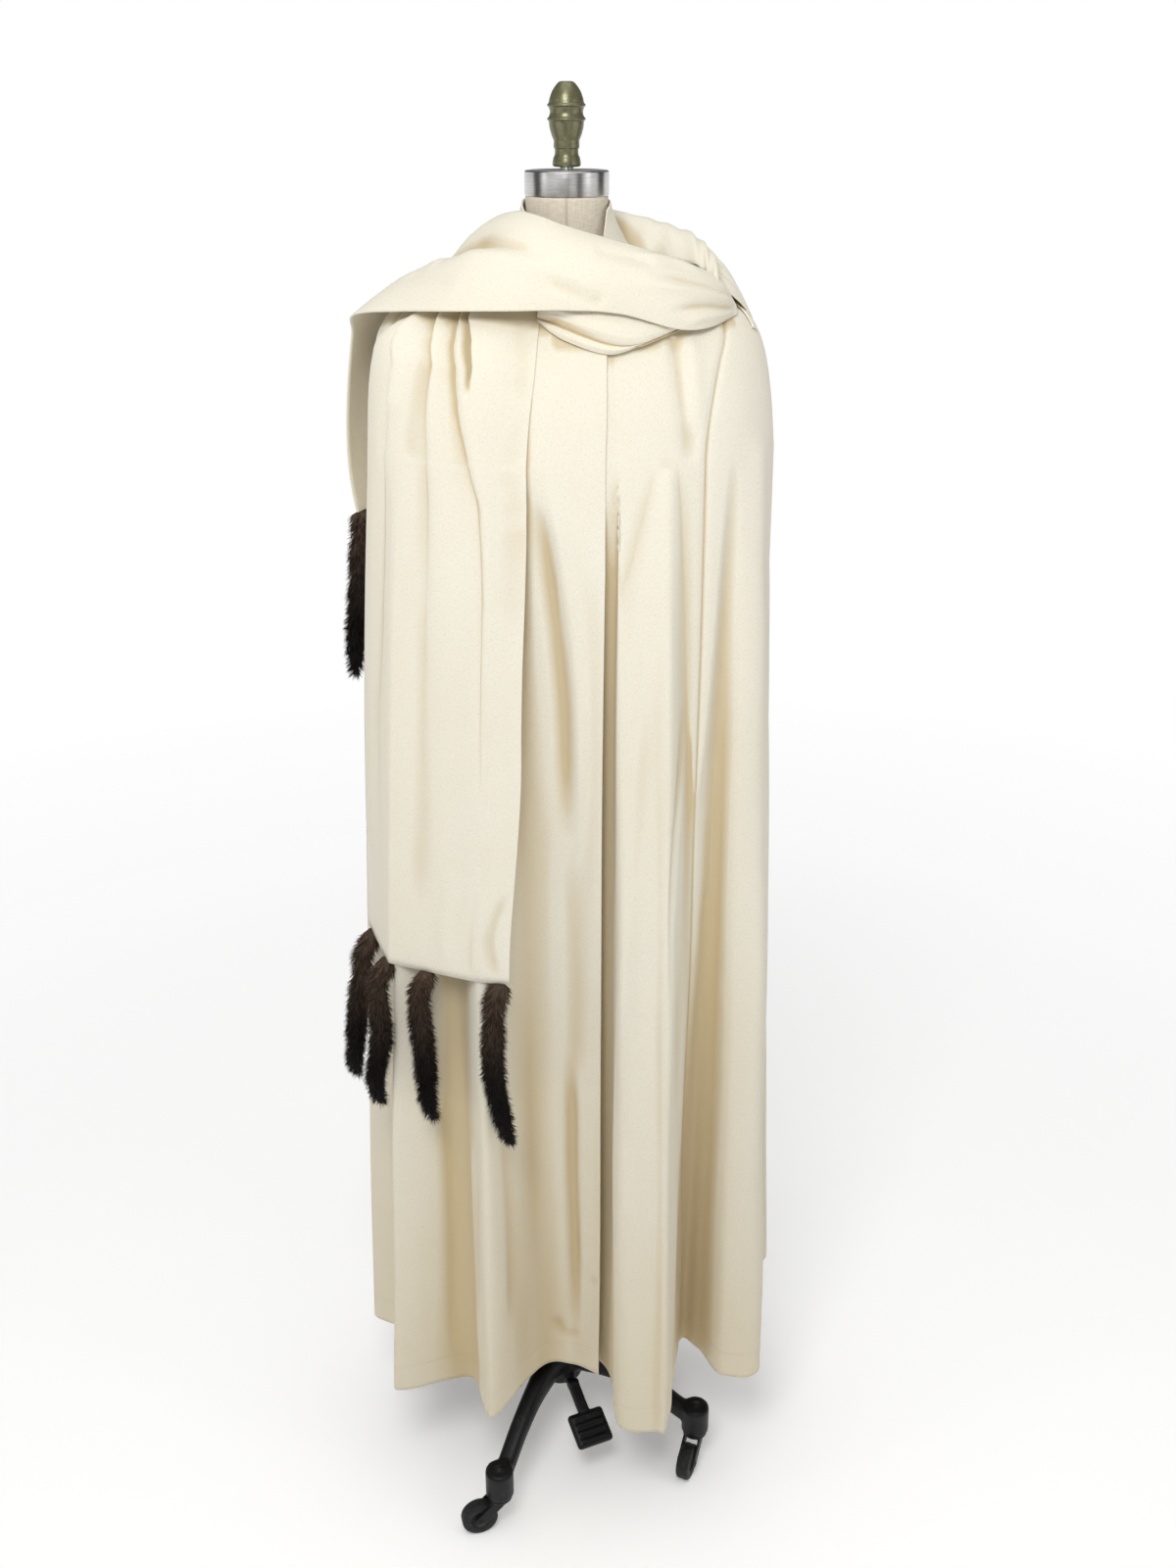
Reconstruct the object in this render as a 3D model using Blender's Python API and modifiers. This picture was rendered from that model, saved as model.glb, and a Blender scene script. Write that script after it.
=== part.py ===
"""Full-length cape with a long scarf, on a limbless dress form with a caster stand.

Metres, +Z up. The form's neck is on the Z axis, the floor is Z = 0 and the cape faces -Y.
Left and right in names are the wearer's. A turn is an angle about the Z axis, in degrees:
0 faces the front, 90 the wearer's right (-X), 180 the back and 270 the wearer's left (+X).
"""

import math
from functools import lru_cache

import bmesh
import bpy
from mathutils import Matrix, Vector

# Cloth
CAPE_WALL = 0.0020
SCARF_WALL = 0.0018
SEAM_GAP = 0.0003
SEAT_GAP = 0.0005
BREAK_Z = 1.470
HEM_Z = 0.180
# How quickly the folds open below the break: a lead added to the share of the fall, and a power
FOLD_LEAD = 0.05
FOLD_POWER = 0.6
# How far the right front's edge lies over the left front, over how many fold rows,
# and the drops between which the two part
LAP_LIFT = 0.0030
LAP_FOLDS = 2.0
LAP_DROPS = (1.25, 1.55)
COLUMNS_PER_FOLD = 3
# A cloth drawn tight round the folds: points read per fold, degrees between the directions it is
# measured in, and the least cosine between a point's turn and such a direction
WRAP_POINTS = 6
WRAP_STEP = 4
WRAP_FACING = 0.3
YOKE_STEPS = 8
FALL_STEPS = 9

# The cape over the shoulders: horizontal sections from the neck down to the break.
# height, half width right, half width left, depth in front, depth behind, squareness (2 is an ellipse)
YOKE = (
    (1.655, 0.085, 0.085, 0.066, 0.064, 2.0),
    (1.640, 0.142, 0.142, 0.086, 0.082, 2.0),
    (1.622, 0.183, 0.183, 0.104, 0.098, 2.1),
    (1.600, 0.206, 0.208, 0.122, 0.114, 2.2),
    (1.570, 0.215, 0.2205, 0.136, 0.130, 2.3),
    (1.523, 0.218, 0.229, 0.146, 0.144, 2.4),
    (BREAK_Z, 0.221, 0.234, 0.150, 0.153, 2.4),
)

# The cape's folds, once round from the right front edge to the left front edge.
# name, turn at the neck, turn at the break, hem x, hem y, share of the fall before it starts
FOLDS = (
    ("right front edge", -12.8, -7.2, 0.037, -0.109, 0.10),
    ("right front crease", 0.0, 1.0, 0.000, -0.088, 0.05),
    ("right front hollow", 10.0, 12.0, -0.047, -0.095, 0.00),
    ("right front ridge", 22.0, 22.0, -0.108, -0.187, 0.00),
    ("right front dip", 36.0, 33.0, -0.142, -0.114, 0.00),
    ("right corner ridge", 56.0, 49.0, -0.246, -0.136, 0.00),
    ("right front seam", 74.0, 62.0, -0.217, -0.040, 0.00),
    ("right side ridge", 92.0, 90.0, -0.294, 0.012, 0.00),
    ("right side hollow", 106.0, 106.0, -0.232, 0.072, 0.00),
    ("right back ridge", 120.0, 122.0, -0.258, 0.166, 0.00),
    ("right back seam", 135.0, 137.0, -0.166, 0.134, 0.00),
    ("back ridge right", 151.0, 151.0, -0.136, 0.226, 0.00),
    ("back hollow right", 166.0, 166.0, -0.060, 0.150, 0.00),
    ("back ridge middle", 180.0, 180.0, 0.004, 0.236, 0.00),
    ("back hollow left", 194.0, 194.0, 0.064, 0.154, 0.00),
    ("back ridge left", 209.0, 209.0, 0.140, 0.228, 0.00),
    ("left back seam", 225.0, 224.0, 0.170, 0.140, 0.00),
    ("left back ridge", 241.0, 241.0, 0.298, 0.148, 0.00),
    ("left side hollow", 256.0, 259.0, 0.246, 0.052, 0.06),
    ("left side ridge", 266.0, 284.0, 0.266, -0.092, 0.12),
    ("left side corner", 277.0, 302.0, 0.212, -0.110, 0.06),
    ("left front valley", 284.0, 314.0, 0.178, -0.056, 0.00),
    ("left front seam", 290.0, 324.0, 0.154, -0.047, 0.30),
    ("left front ridge", 311.0, 334.0, 0.131, -0.197, 0.00),
    ("left front roll", 328.5, 340.0, 0.113, -0.213, 0.00),
    ("left front turn", 342.0, 348.6, 0.062, -0.198, 0.10),
    ("left front return", 346.5, 350.4, 0.053, -0.104, 0.00),
    ("left front edge", 351.0, 355.5, 0.020, -0.064, 0.08),
)

# Panels of the cape: name, first fold row, last fold row
PANELS = (
    ("cape_front_right", 0, 6),
    ("cape_side_right", 6, 10),
    ("cape_back", 10, 16),
    ("cape_side_left", 16, 22),
    ("cape_front_left", 22, 27),
)

# The scarf's front fall. drop, turn of its inner edge, turn of its outer edge
FRONT_FALL = (
    (0.25, 14.0, 66.0),
    (0.63, 13.0, 77.5),
    (1.00, 15.5, 85.0),
    (1.25, 17.5, 87.0),
    (1.475, 22.0, 85.0),
)
FRONT_FALL_COLUMNS = 32
FRONT_FALL_LIFT = 0.0030
# Extra lift of the front fall below the break, and the drops over which it comes in
FRONT_FALL_STAND_OFF = 0.0025
STAND_OFF_DROPS = (0.8, 1.2)
# How much wider the gathers grow by the scarf's end
GATHER_SPREAD = 1.6

# Gathers of the front fall. place at the top, place low down, width, height, share they run
GATHERS = (
    (0.38, 0.14, 0.110, 0.010, 0.50),
    (0.59, 0.32, 0.040, 0.018, 0.75),
    (0.71, 0.46, 0.042, 0.015, 0.65),
    (0.89, 0.86, 0.080, 0.011, 0.45),
)

# The scarf's outer stretch: from the slot at the left shoulder across the chest, over the right
# shoulder and down the back.
# upper or inner edge x, y, z, lower or outer edge x, y, z, crown, dip beside the neck
OUTER_WRAP = (
    (0.183, -0.0125, 1.6245, 0.184, -0.0435, 1.6157, 0.002, 0.000),
    (0.159, -0.052, 1.656, 0.152, -0.090, 1.6075, 0.010, 0.000),
    (0.098, -0.082, 1.681, 0.1155, -0.116, 1.609, 0.016, 0.000),
    (0.040, -0.094, 1.698, 0.056, -0.132, 1.626, 0.018, 0.000),
    (-0.002, -0.094, 1.710, 0.000, -0.137, 1.630, 0.018, 0.000),
    (-0.030, -0.082, 1.719, -0.060, -0.134, 1.629, 0.018, 0.002),
    (-0.052, -0.056, 1.721, -0.118, -0.117, 1.627, 0.016, 0.010),
    (-0.078, -0.016, 1.712, -0.177, -0.072, 1.622, 0.011, 0.020),
    (-0.096, 0.026, 1.694, -0.235, -0.016, 1.612, 0.006, 0.016),
    (-0.094, 0.078, 1.672, -0.244, 0.022, 1.586, 0.014, 0.008),
    (-0.082, 0.118, 1.620, -0.254, 0.042, 1.535, 0.034, 0.000),
    (-0.070, 0.143, 1.550, -0.261, 0.054, 1.475, 0.042, 0.000),
    (-0.060, 0.160, 1.470, -0.262, 0.060, 1.420, 0.041, 0.000),
    (-0.055, 0.168, 1.372, -0.256, 0.060, 1.372, 0.040, 0.000),
)
# Where across the strip the dip lies, and its half width, as shares
DIP_PLACE = 0.30
DIP_SPREAD = 0.17
# Row on the right shoulder where the band across the chest ends and the back fall starts
SHOULDER_ROW = 8
CROSS_STEPS = 24
BACK_FALL_STEPS = 10
WRAP_STEPS_ACROSS = 7

# The stretch round the back of the neck. upper edge x, y, z, lower edge turn, drop, crown
NECK_WRAP = (
    (-0.058, 0.052, 1.692, 138.0, 0.40, 0.006),
    (-0.040, 0.070, 1.709, 154.0, 0.45, 0.012),
    (0.000, 0.080, 1.715, 180.0, 0.46, 0.012),
    (0.048, 0.068, 1.715, 205.0, 0.46, 0.012),
    (0.088, 0.050, 1.706, 228.0, 0.46, 0.012),
    (0.131, 0.030, 1.690, 246.0, 0.46, 0.010),
    (0.154, 0.004, 1.672, 259.0, 0.46, 0.008),
    (0.163, -0.016, 1.654, 269.0, 0.46, 0.005),
)
NECK_GATHERS = 4
NECK_GATHER_HEIGHT = 0.004
# Rows of the neck stretch over which its gathers grow
NECK_GATHER_ROWS = (3.8, 5.8)
NECK_CLEAR = 0.0003
NECK_STEPS = 21
NECK_STEPS_ACROSS = 9
STRIP_STEP = 0.05

# The soft fold under the band. turn, drop of its upper edge, drop of its lower edge
UNDER_DRAPE = (
    (8.0, 0.31, 0.39),
    (3.0, 0.29, 0.48),
    (-3.0, 0.29, 0.56),
    (-10.0, 0.30, 0.60),
    (-18.0, 0.32, 0.56),
    (-27.0, 0.36, 0.50),
    (-36.0, 0.39, 0.45),
)
# share from its upper to its lower edge, height above the cape
UNDER_ROLLS = (
    (0.00, 0.008),
    (0.30, 0.0125),
    (0.48, 0.014),
    (0.56, 0.0095),
    (0.80, 0.010),
    (1.00, 0.0050),
)
UNDER_STEPS = 18
UNDER_STEPS_ACROSS = 8

# The strip beside the slot at the left shoulder, from its upper to its lower end.
# turn and drop of its front edge, turn and drop of its back edge
TAB = (
    (274.0, 0.335, 270.3, 0.350),
    (280.5, 0.420, 276.4, 0.437),
    (286.0, 0.500, 281.6, 0.520),
)
TAB_WALL = 0.0025
TAB_SEAT = 0.0009
TAB_STEPS = 5

# The collar stand. turn, radius and height of its upper edge, the same of its lower edge
COLLAR = (
    (64.0, 0.0505, 1.718, 44.0, 0.0750, 1.6585),
    (94.0, 0.0488, 1.728, 88.0, 0.0840, 1.6585),
    (130.0, 0.0474, 1.731, 130.0, 0.0765, 1.6585),
    (180.0, 0.0472, 1.731, 180.0, 0.0640, 1.6585),
    (230.0, 0.0472, 1.730, 230.0, 0.0765, 1.6585),
    (272.0, 0.0476, 1.727, 276.0, 0.0840, 1.6585),
    (300.0, 0.0510, 1.721, 336.0, 0.0690, 1.6585),
)
COLLAR_STEPS = 24
COLLAR_FLARE = 1.4

# Fur tails
TAIL_SIDES = 8
TAIL_CLEAR = 0.0045
# Share of a tail's length over which it comes clear of the folds
TAIL_TURN_OUT = 0.13
# share of the length, radius
TAIL_PROFILE = (
    (0.00, 0.0030),
    (0.03, 0.0085),
    (0.12, 0.0135),
    (0.35, 0.0165),
    (0.62, 0.0165),
    (0.82, 0.0135),
    (0.94, 0.0080),
    (1.00, 0.0020),
)
# Steps along the scarf's end that a back tail's root can take
TAIL_PLACES = 20
# share along the scarf's end, length, sway half way down, sway at the tip, how far the tip stands out
FRONT_TAILS = (
    (0.06, 0.222, -0.001, 0.014, 0.000),
    (0.45, 0.205, 0.008, 0.012, 0.000),
    (0.655, 0.208, 0.019, -0.004, 0.004),
    (0.93, 0.228, 0.026, -0.020, 0.014),
)
BACK_TAILS = (
    (0.05, 0.205, 0.003, -0.004, 0.000),
    (0.35, 0.210, -0.004, 0.005, 0.004),
    (0.65, 0.208, 0.004, -0.004, 0.000),
    (0.95, 0.213, 0.003, -0.004, 0.026),
)

# Dress form below the shoulders. height, half width, depth in front, depth behind, squareness
TORSO = (
    (1.566, 0.188, 0.112, 0.106, 2.3),
    (1.520, 0.172, 0.118, 0.116, 2.3),
    (1.450, 0.164, 0.126, 0.118, 2.2),
    (1.370, 0.162, 0.132, 0.112, 2.2),
    (1.290, 0.146, 0.112, 0.100, 2.1),
    (1.215, 0.128, 0.096, 0.090, 2.1),
    (1.140, 0.138, 0.098, 0.098, 2.1),
    (1.050, 0.158, 0.104, 0.114, 2.2),
    (0.960, 0.164, 0.104, 0.118, 2.2),
    (0.885, 0.156, 0.098, 0.108, 2.2),
    (0.870, 0.148, 0.092, 0.100, 2.2),
)
# The form's neck. height, half width, depth
NECK = (
    (1.7330, 0.0446, 0.0446),
    (1.7000, 0.0448, 0.0448),
    (1.6820, 0.0480, 0.0470),
    (1.6660, 0.0600, 0.0540),
)
TORSO_COLUMNS = 28
SEATED_DROPS = (0.0, 0.125, 0.25, 0.375, 0.5)

CAP_RADIUS = 0.0455
CAP_BOTTOM = 1.7333
CAP_HEIGHT = 0.0257
CAP_EDGE = 0.0015
STUD_RADIUS = 0.0075
STUD_HEIGHT = 0.0060
# Turned finial. height above its foot, radius
FINIAL = (
    (0.0830, 0.0000),
    (0.0830, 0.0070),
    (0.0800, 0.0125),
    (0.0735, 0.0175),
    (0.0660, 0.0196),
    (0.0610, 0.0196),
    (0.0590, 0.0206),
    (0.0565, 0.0206),
    (0.0545, 0.0188),
    (0.0505, 0.0186),
    (0.0480, 0.0204),
    (0.0440, 0.0206),
    (0.0380, 0.0186),
    (0.0260, 0.0146),
    (0.0210, 0.0142),
    (0.0180, 0.0142),
    (0.0150, 0.0122),
    (0.0110, 0.0124),
    (0.0080, 0.0140),
    (0.0000, 0.0140),
    (0.0000, 0.0000),
)

# Pole and stand
POLE_RADIUS = 0.0125
SLEEVE_OUTER = 0.0175
SLEEVE_BORE = 0.0130
SLEEVE_TOP = 0.420
HUB_RADIUS = 0.032
HUB_TOP = 0.165
HUB_BOTTOM = 0.092
STAND_X = -0.018
STAND_Y = -0.008
LEG_COUNT = 4
FRONT_LEG_TURN = 22.5
LEG_REACH = 0.212
# Leg sections from the hub out. radius, height of the middle, width, depth
LEG = (
    (0.012, 0.132, 0.034, 0.050),
    (0.060, 0.134, 0.030, 0.042),
    (0.105, 0.128, 0.026, 0.034),
    (0.150, 0.112, 0.025, 0.030),
    (0.182, 0.094, 0.025, 0.028),
    (LEG_REACH, 0.080, 0.025, 0.026),
)
LEG_CHAMFER = 0.30
SOCKET_RADIUS = 0.0195
SOCKET_TOP = 0.104
SOCKET_BOTTOM = 0.059
NUB_RADIUS = 0.004
NUB_HEIGHT = 0.004

# Casters
WHEEL_RADIUS = 0.025
WHEEL_WIDTH = 0.018
WHEEL_SIDES = 20
WHEEL_ROUNDING = 0.004
TRAIL = 0.030
CROWN_RADIUS = 0.0175
CROWN_HEIGHT = 0.006
FORK_WALL = 0.0032
FORK_PLAY = 0.0006
CHEEK_TOP = 0.0110
CHEEK_RADIUS = 0.0090
CHEEK_STEPS = 8
# Degrees of arc round the axle at a cheek's foot
CHEEK_ARC = (60.0, -150.0)
HUB_DISH = 0.003
# Trailing direction of each caster, degrees from +X towards +Y, in the order of the legs
CASTER_TRAIL = (196.0, 246.0, 70.0, 190.0)

# Pedal
PEDAL_TURN = -24.0
PEDAL_PIVOT = (0.047, 0.106)
PEDAL_PLAY = 0.0006
PEDAL_PAD = (0.050, 0.054, 0.012)
PEDAL_PAD_REACH = 0.108
PEDAL_PAD_Z = 0.078
PEDAL_ARM = (0.016, 0.014)
ARM_THINNING = 0.8
PEDAL_ROUNDING = 0.005
PEDAL_RIBS = 4
PEDAL_RIB = (0.005, 0.040, 0.004)
# Share of the pad's length from its middle to the outermost rib
PEDAL_RIB_SPAN = 0.34

COLLECTION = "Cape with scarf on dress form"


def clear_scene():
    for item in list(bpy.data.objects):
        bpy.data.objects.remove(item, do_unlink=True)


def make_collection(name):
    group = bpy.data.collections.new(name)
    bpy.context.scene.collection.children.link(group)
    return group


def finish(name, colour, roughness, metallic=0.0):
    material = bpy.data.materials.new(name)
    material.use_nodes = True
    shader = material.node_tree.nodes["Principled BSDF"]
    shader.inputs["Base Color"].default_value = (*colour, 1.0)
    shader.inputs["Roughness"].default_value = roughness
    shader.inputs["Metallic"].default_value = metallic
    return material


def lerp(start, end, share):
    return start + (end - start) * share


def smooth(share):
    share = min(max(share, 0.0), 1.0)
    return share * share * (3.0 - 2.0 * share)


def flow(rows, place):
    """Read a table of numbers at a fractional row, on a smooth curve through its rows."""
    last = len(rows) - 1
    row = min(max(int(place), 0), last - 1)
    share = place - row
    before, start, end, after = (rows[min(max(row + step, 0), last)] for step in (-1, 0, 1, 2))
    values = []
    for a, b, c, d in zip(before, start, end, after):
        bend = (2 * a - 5 * b + 4 * c - d) * share ** 2 + (3 * b - a - 3 * c + d) * share ** 3
        values.append(b + 0.5 * ((c - a) * share + bend))
    return values


def read(rows, key):
    """Read a table whose first column rises, at a value of that column."""
    if key <= rows[0][0]:
        return rows[0][1:]
    for low, high in zip(rows, rows[1:]):
        if key <= high[0]:
            share = smooth((key - low[0]) / (high[0] - low[0]))
            return [lerp(a, b, share) for a, b in zip(low[1:], high[1:])]
    return rows[-1][1:]


def heading(turn):
    """Unit vector that a turn faces."""
    angle = math.radians(turn)
    return Vector((-math.sin(angle), -math.cos(angle), 0.0))


def oval(turn, section):
    """Point of a horizontal section at a turn."""
    height, right, left, front, behind, squareness = section
    angle = math.radians(turn)
    sine, cosine = math.sin(angle), math.cos(angle)
    power = 2.0 / squareness
    half_width = right if sine > 0 else left
    depth = front if cosine > 0 else behind
    x = -half_width * math.copysign(abs(sine) ** power, sine)
    y = -depth * math.copysign(abs(cosine) ** power, cosine)
    return Vector((x, y, height))


def yoke_point(turn, drop):
    """Point of the cape's outer face over the shoulders; drop runs 0 at the neck to 1 at the break."""
    return oval(turn, flow(YOKE, drop * (len(YOKE) - 1)))


def outward(surface, across, down):
    """Unit normal of a surface function of two values."""
    step = 0.02
    along = surface(across + step, down) - surface(across - step, down)
    low = surface(across, min(down + step, 2.0))
    high = surface(across, max(down - step, 0.0))
    return along.cross(low - high).normalized()


def on_yoke(turn, drop, lift):
    """Point at a height above the cape's outer face over the shoulders."""
    return yoke_point(turn, drop) + outward(yoke_point, turn, drop) * lift


FOLD_ROWS = tuple(row[1:] for row in FOLDS)


def fold_growth(fall):
    """How far a fold has opened at a share of the fall from the break to the hem."""
    start = FOLD_LEAD ** FOLD_POWER
    end = (1.0 + FOLD_LEAD) ** FOLD_POWER
    return ((fall + FOLD_LEAD) ** FOLD_POWER - start) / (end - start)


def cape_point(fold, drop):
    """Point of the cape's outer face; drop runs 0 at the neck, 1 at the break, 2 at the hem."""
    neck_turn, break_turn, hem_x, hem_y, start = flow(FOLD_ROWS, fold)
    if drop <= 1.0:
        return yoke_point(lerp(neck_turn, break_turn, smooth(drop)), drop)
    top = oval(break_turn, YOKE[-1])
    share = fold_growth(max(0.0, (drop - 1.0 - start) / (1.0 - start)))
    height = lerp(BREAK_Z, HEM_Z, drop - 1.0)
    return Vector((lerp(top.x, hem_x, share), lerp(top.y, hem_y, share), height))


def lapped_point(fold, drop):
    """Cape point with the right front's edge lifted over the left front."""
    start, end = LAP_DROPS
    lift = LAP_LIFT * (1.0 - smooth(fold / LAP_FOLDS)) * (1.0 - smooth((drop - start) / (end - start)))
    point = cape_point(fold, drop)
    if lift > 0.0:
        point += outward(cape_point, max(fold, 0.05), drop) * lift
    return point


@lru_cache(maxsize=None)
def wrap_supports(drop):
    """How far the cape reaches in each direction at a drop."""
    last = len(FOLDS) - 1
    points = [cape_point(k / WRAP_POINTS, drop) for k in range(last * WRAP_POINTS + 1)]
    reaches = []
    for turn in range(0, 360, WRAP_STEP):
        facing = heading(turn)
        reaches.append((turn, max(point.dot(facing) for point in points)))
    return reaches


def on_wrap(turn, drop, lift):
    """Point above a cloth drawn tight round the cape's folds at a drop."""
    radius = 1.0
    for support, reach in wrap_supports(drop):
        apart = math.cos(math.radians(turn - support))
        if apart > WRAP_FACING:
            radius = min(radius, reach / apart)
    point = heading(turn) * (radius + lift)
    point.z = cape_point(0, drop).z
    return point


def mesh_from(name, build):
    """New mesh that a function fills."""
    shape = bmesh.new()
    build(shape)
    mesh = bpy.data.meshes.new(name)
    shape.to_mesh(mesh)
    shape.free()
    return mesh


def place(name, mesh, material, smooth_angle=40.0):
    """New object of the collection with its material."""
    mesh.materials.clear()
    mesh.materials.append(material)
    mesh.shade_smooth()
    mesh.set_sharp_from_angle(angle=math.radians(smooth_angle))
    item = bpy.data.objects.new(name, mesh)
    PARTS.objects.link(item)
    return item


def net(shape, rows, closed=False):
    """Quads between rows of points; they face out where rows run down and points run by turn."""
    verts = [[shape.verts.new(point) for point in row] for row in rows]
    for upper, lower in zip(verts, verts[1:]):
        count = len(upper)
        for k in range(count if closed else count - 1):
            after = (k + 1) % count
            shape.faces.new((upper[k], upper[after], lower[after], lower[k]))
    return verts


def cloth(name, rows, wall, material):
    """Cloth wall whose outer face runs through rows of points."""
    item = place(name, mesh_from(name, lambda shape: net(shape, rows)), material, 60.0)
    thick = item.modifiers.new("Wall", "SOLIDIFY")
    thick.thickness = wall
    thick.offset = -1.0
    return item


def loft(name, rings, material, smooth_angle=40.0):
    """Closed body through rings from the top down, with flat ends."""
    def build(shape):
        verts = net(shape, rings, closed=True)
        shape.faces.new(reversed(verts[0]))
        shape.faces.new(verts[-1])
    return place(name, mesh_from(name, build), material, smooth_angle)


def turned(name, profile, material, segments=28, smooth_angle=35.0):
    """Body turned about Z from a profile of (height, radius), top to bottom on its outer side."""
    def build(shape):
        points = [shape.verts.new((radius, 0.0, height)) for height, radius in profile]
        for start, end in zip(points, points[1:]):
            shape.edges.new((start, end))
    item = place(name, mesh_from(name, build), material, smooth_angle)
    screw = item.modifiers.new("Turn", "SCREW")
    screw.steps = segments
    screw.render_steps = segments
    screw.use_merge_vertices = True
    screw.merge_threshold = 0.00001
    screw.use_smooth_shade = True
    return item


def drops(first, last):
    """The cape's own rows between two drops, with both ends."""
    rows = [k / YOKE_STEPS for k in range(YOKE_STEPS)]
    rows += [1.0 + k / FALL_STEPS for k in range(FALL_STEPS + 1)]
    return [first] + [row for row in rows if first + 0.02 < row < last - 0.02] + [last]


def trim_ends(row):
    """Draw a row's two ends in by half a seam gap, and more where the wall bends."""
    for end, inner, beyond in ((0, 1, 2), (-1, -2, -3)):
        pull = row[inner] - row[end]
        bend = pull.angle(row[beyond] - row[inner])
        row[end] = row[end] + pull.normalized() * (SEAM_GAP / 2 + CAPE_WALL * math.sin(bend / 2))
    return row


def make_cape(material):
    for name, first, last in PANELS:
        columns = (last - first) * COLUMNS_PER_FOLD
        folds = [lerp(first, last, k / columns) for k in range(columns + 1)]
        rows = [trim_ends([lapped_point(fold, drop) for fold in folds]) for drop in drops(0.0, 2.0)]
        cloth(name, rows, CAPE_WALL, material)


def gather_height(share, low):
    """Height of the front fall's gathers at a share of its width and of its length."""
    height = 0.0
    for top, bottom, width, rise, run in GATHERS:
        away = (share - lerp(top, bottom, smooth(low / run))) / (width * lerp(1.0, GATHER_SPREAD, low))
        height += rise * math.exp(-away * away) * (1.0 - smooth(low / run))
    return height


def front_fall_point(share, drop):
    inner, outer = read(FRONT_FALL, drop)
    first, last = FRONT_FALL[0][0], FRONT_FALL[-1][0]
    low = (drop - first) / (last - first)
    start, end = STAND_OFF_DROPS
    lift = FRONT_FALL_LIFT + FRONT_FALL_STAND_OFF * smooth((drop - start) / (end - start))
    return on_wrap(lerp(inner, outer, share), drop, lift + gather_height(share, low))


def make_front_fall(material):
    shares = [k / FRONT_FALL_COLUMNS for k in range(FRONT_FALL_COLUMNS + 1)]
    first, last = FRONT_FALL[0][0], FRONT_FALL[-1][0]
    rows = [[front_fall_point(share, drop) for share in shares] for drop in drops(first, last)]
    cloth("scarf_front_fall", rows, SCARF_WALL, material)


def swell(share, crown, dip):
    """Height of a strip above the straight line between its edges."""
    beside = (share - DIP_PLACE) / DIP_SPREAD
    arch = 4.0 * share * (1.0 - share)
    return crown * arch - dip * arch * math.exp(-beside * beside)


def strip_rows(edges, first, last, steps_along, steps_across, ripple=None):
    """Rows down a strip from its upper to its lower edge; edges gives both edges, crown and dip."""
    columns = []
    for k in range(steps_along + 1):
        here = lerp(first, last, k / steps_along)
        upper, lower, crown, dip = edges(here)
        before, after = edges(here - STRIP_STEP), edges(here + STRIP_STEP)
        along = (after[0] + after[1]) - (before[0] + before[1])
        out = along.cross(lower - upper).normalized()
        column = []
        for j in range(steps_across + 1):
            share = j / steps_across
            height = swell(share, crown, dip)
            if ripple:
                height += ripple(here, share)
            column.append(upper.lerp(lower, share) + out * height)
        columns.append(column)
    return [trim_ends(list(row)) for row in zip(*columns)]


def outer_wrap_edges(here):
    values = flow(OUTER_WRAP, here)
    return Vector(values[0:3]), Vector(values[3:6]), values[6], values[7]


def neck_edges(here):
    values = flow(NECK_WRAP, here)
    return Vector(values[0:3]), on_yoke(values[3], values[4], SCARF_WALL + NECK_CLEAR), values[5], 0.0


def neck_ripple(here, share):
    """Gathers of the neck stretch where it is drawn into the slot."""
    start, end = NECK_GATHER_ROWS
    wave = math.sin(2 * math.pi * NECK_GATHERS * share) * math.sin(math.pi * share)
    return NECK_GATHER_HEIGHT * smooth((here - start) / (end - start)) * wave


def make_scarf(material):
    make_front_fall(material)
    last = len(OUTER_WRAP) - 1
    cross = strip_rows(outer_wrap_edges, 0, SHOULDER_ROW, CROSS_STEPS, WRAP_STEPS_ACROSS)
    cloth("scarf_cross", cross, SCARF_WALL, material)
    back = strip_rows(outer_wrap_edges, SHOULDER_ROW, last, BACK_FALL_STEPS, WRAP_STEPS_ACROSS)
    cloth("scarf_back_fall", back, SCARF_WALL, material)
    neck = strip_rows(neck_edges, 0, len(NECK_WRAP) - 1, NECK_STEPS, NECK_STEPS_ACROSS, neck_ripple)
    cloth("scarf_neck", neck, SCARF_WALL, material)
    make_under_drape(material)
    make_collar(material)


def make_under_drape(material):
    last = len(UNDER_DRAPE) - 1
    rows = []
    for j in range(UNDER_STEPS_ACROSS + 1):
        share = j / UNDER_STEPS_ACROSS
        lift = read(UNDER_ROLLS, share)[0]
        row = []
        for k in range(UNDER_STEPS + 1):
            turn, top, bottom = flow(UNDER_DRAPE, (1.0 - k / UNDER_STEPS) * last)
            row.append(on_yoke(turn, lerp(top, bottom, share), lift))
        rows.append(row)
    cloth("scarf_under_drape", rows, SCARF_WALL, material)


def make_collar(material):
    rows = [[], [], []]
    for k in range(COLLAR_STEPS + 1):
        values = flow(COLLAR, k / COLLAR_STEPS * (len(COLLAR) - 1))
        top_turn, top_radius, top_z, low_turn, low_radius, low_z = values
        for row, share in zip(rows, (0.0, 0.5, 1.0)):
            radius = lerp(top_radius, low_radius, share ** COLLAR_FLARE)
            point = heading(lerp(top_turn, low_turn, share)) * radius
            point.z = lerp(top_z, low_z, share)
            row.append(point)
    cloth("collar", rows, SCARF_WALL, material)


def drop_at(height):
    """Drop of a height below the break."""
    return 1.0 + (BREAK_Z - height) / (BREAK_Z - HEM_Z)


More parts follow.
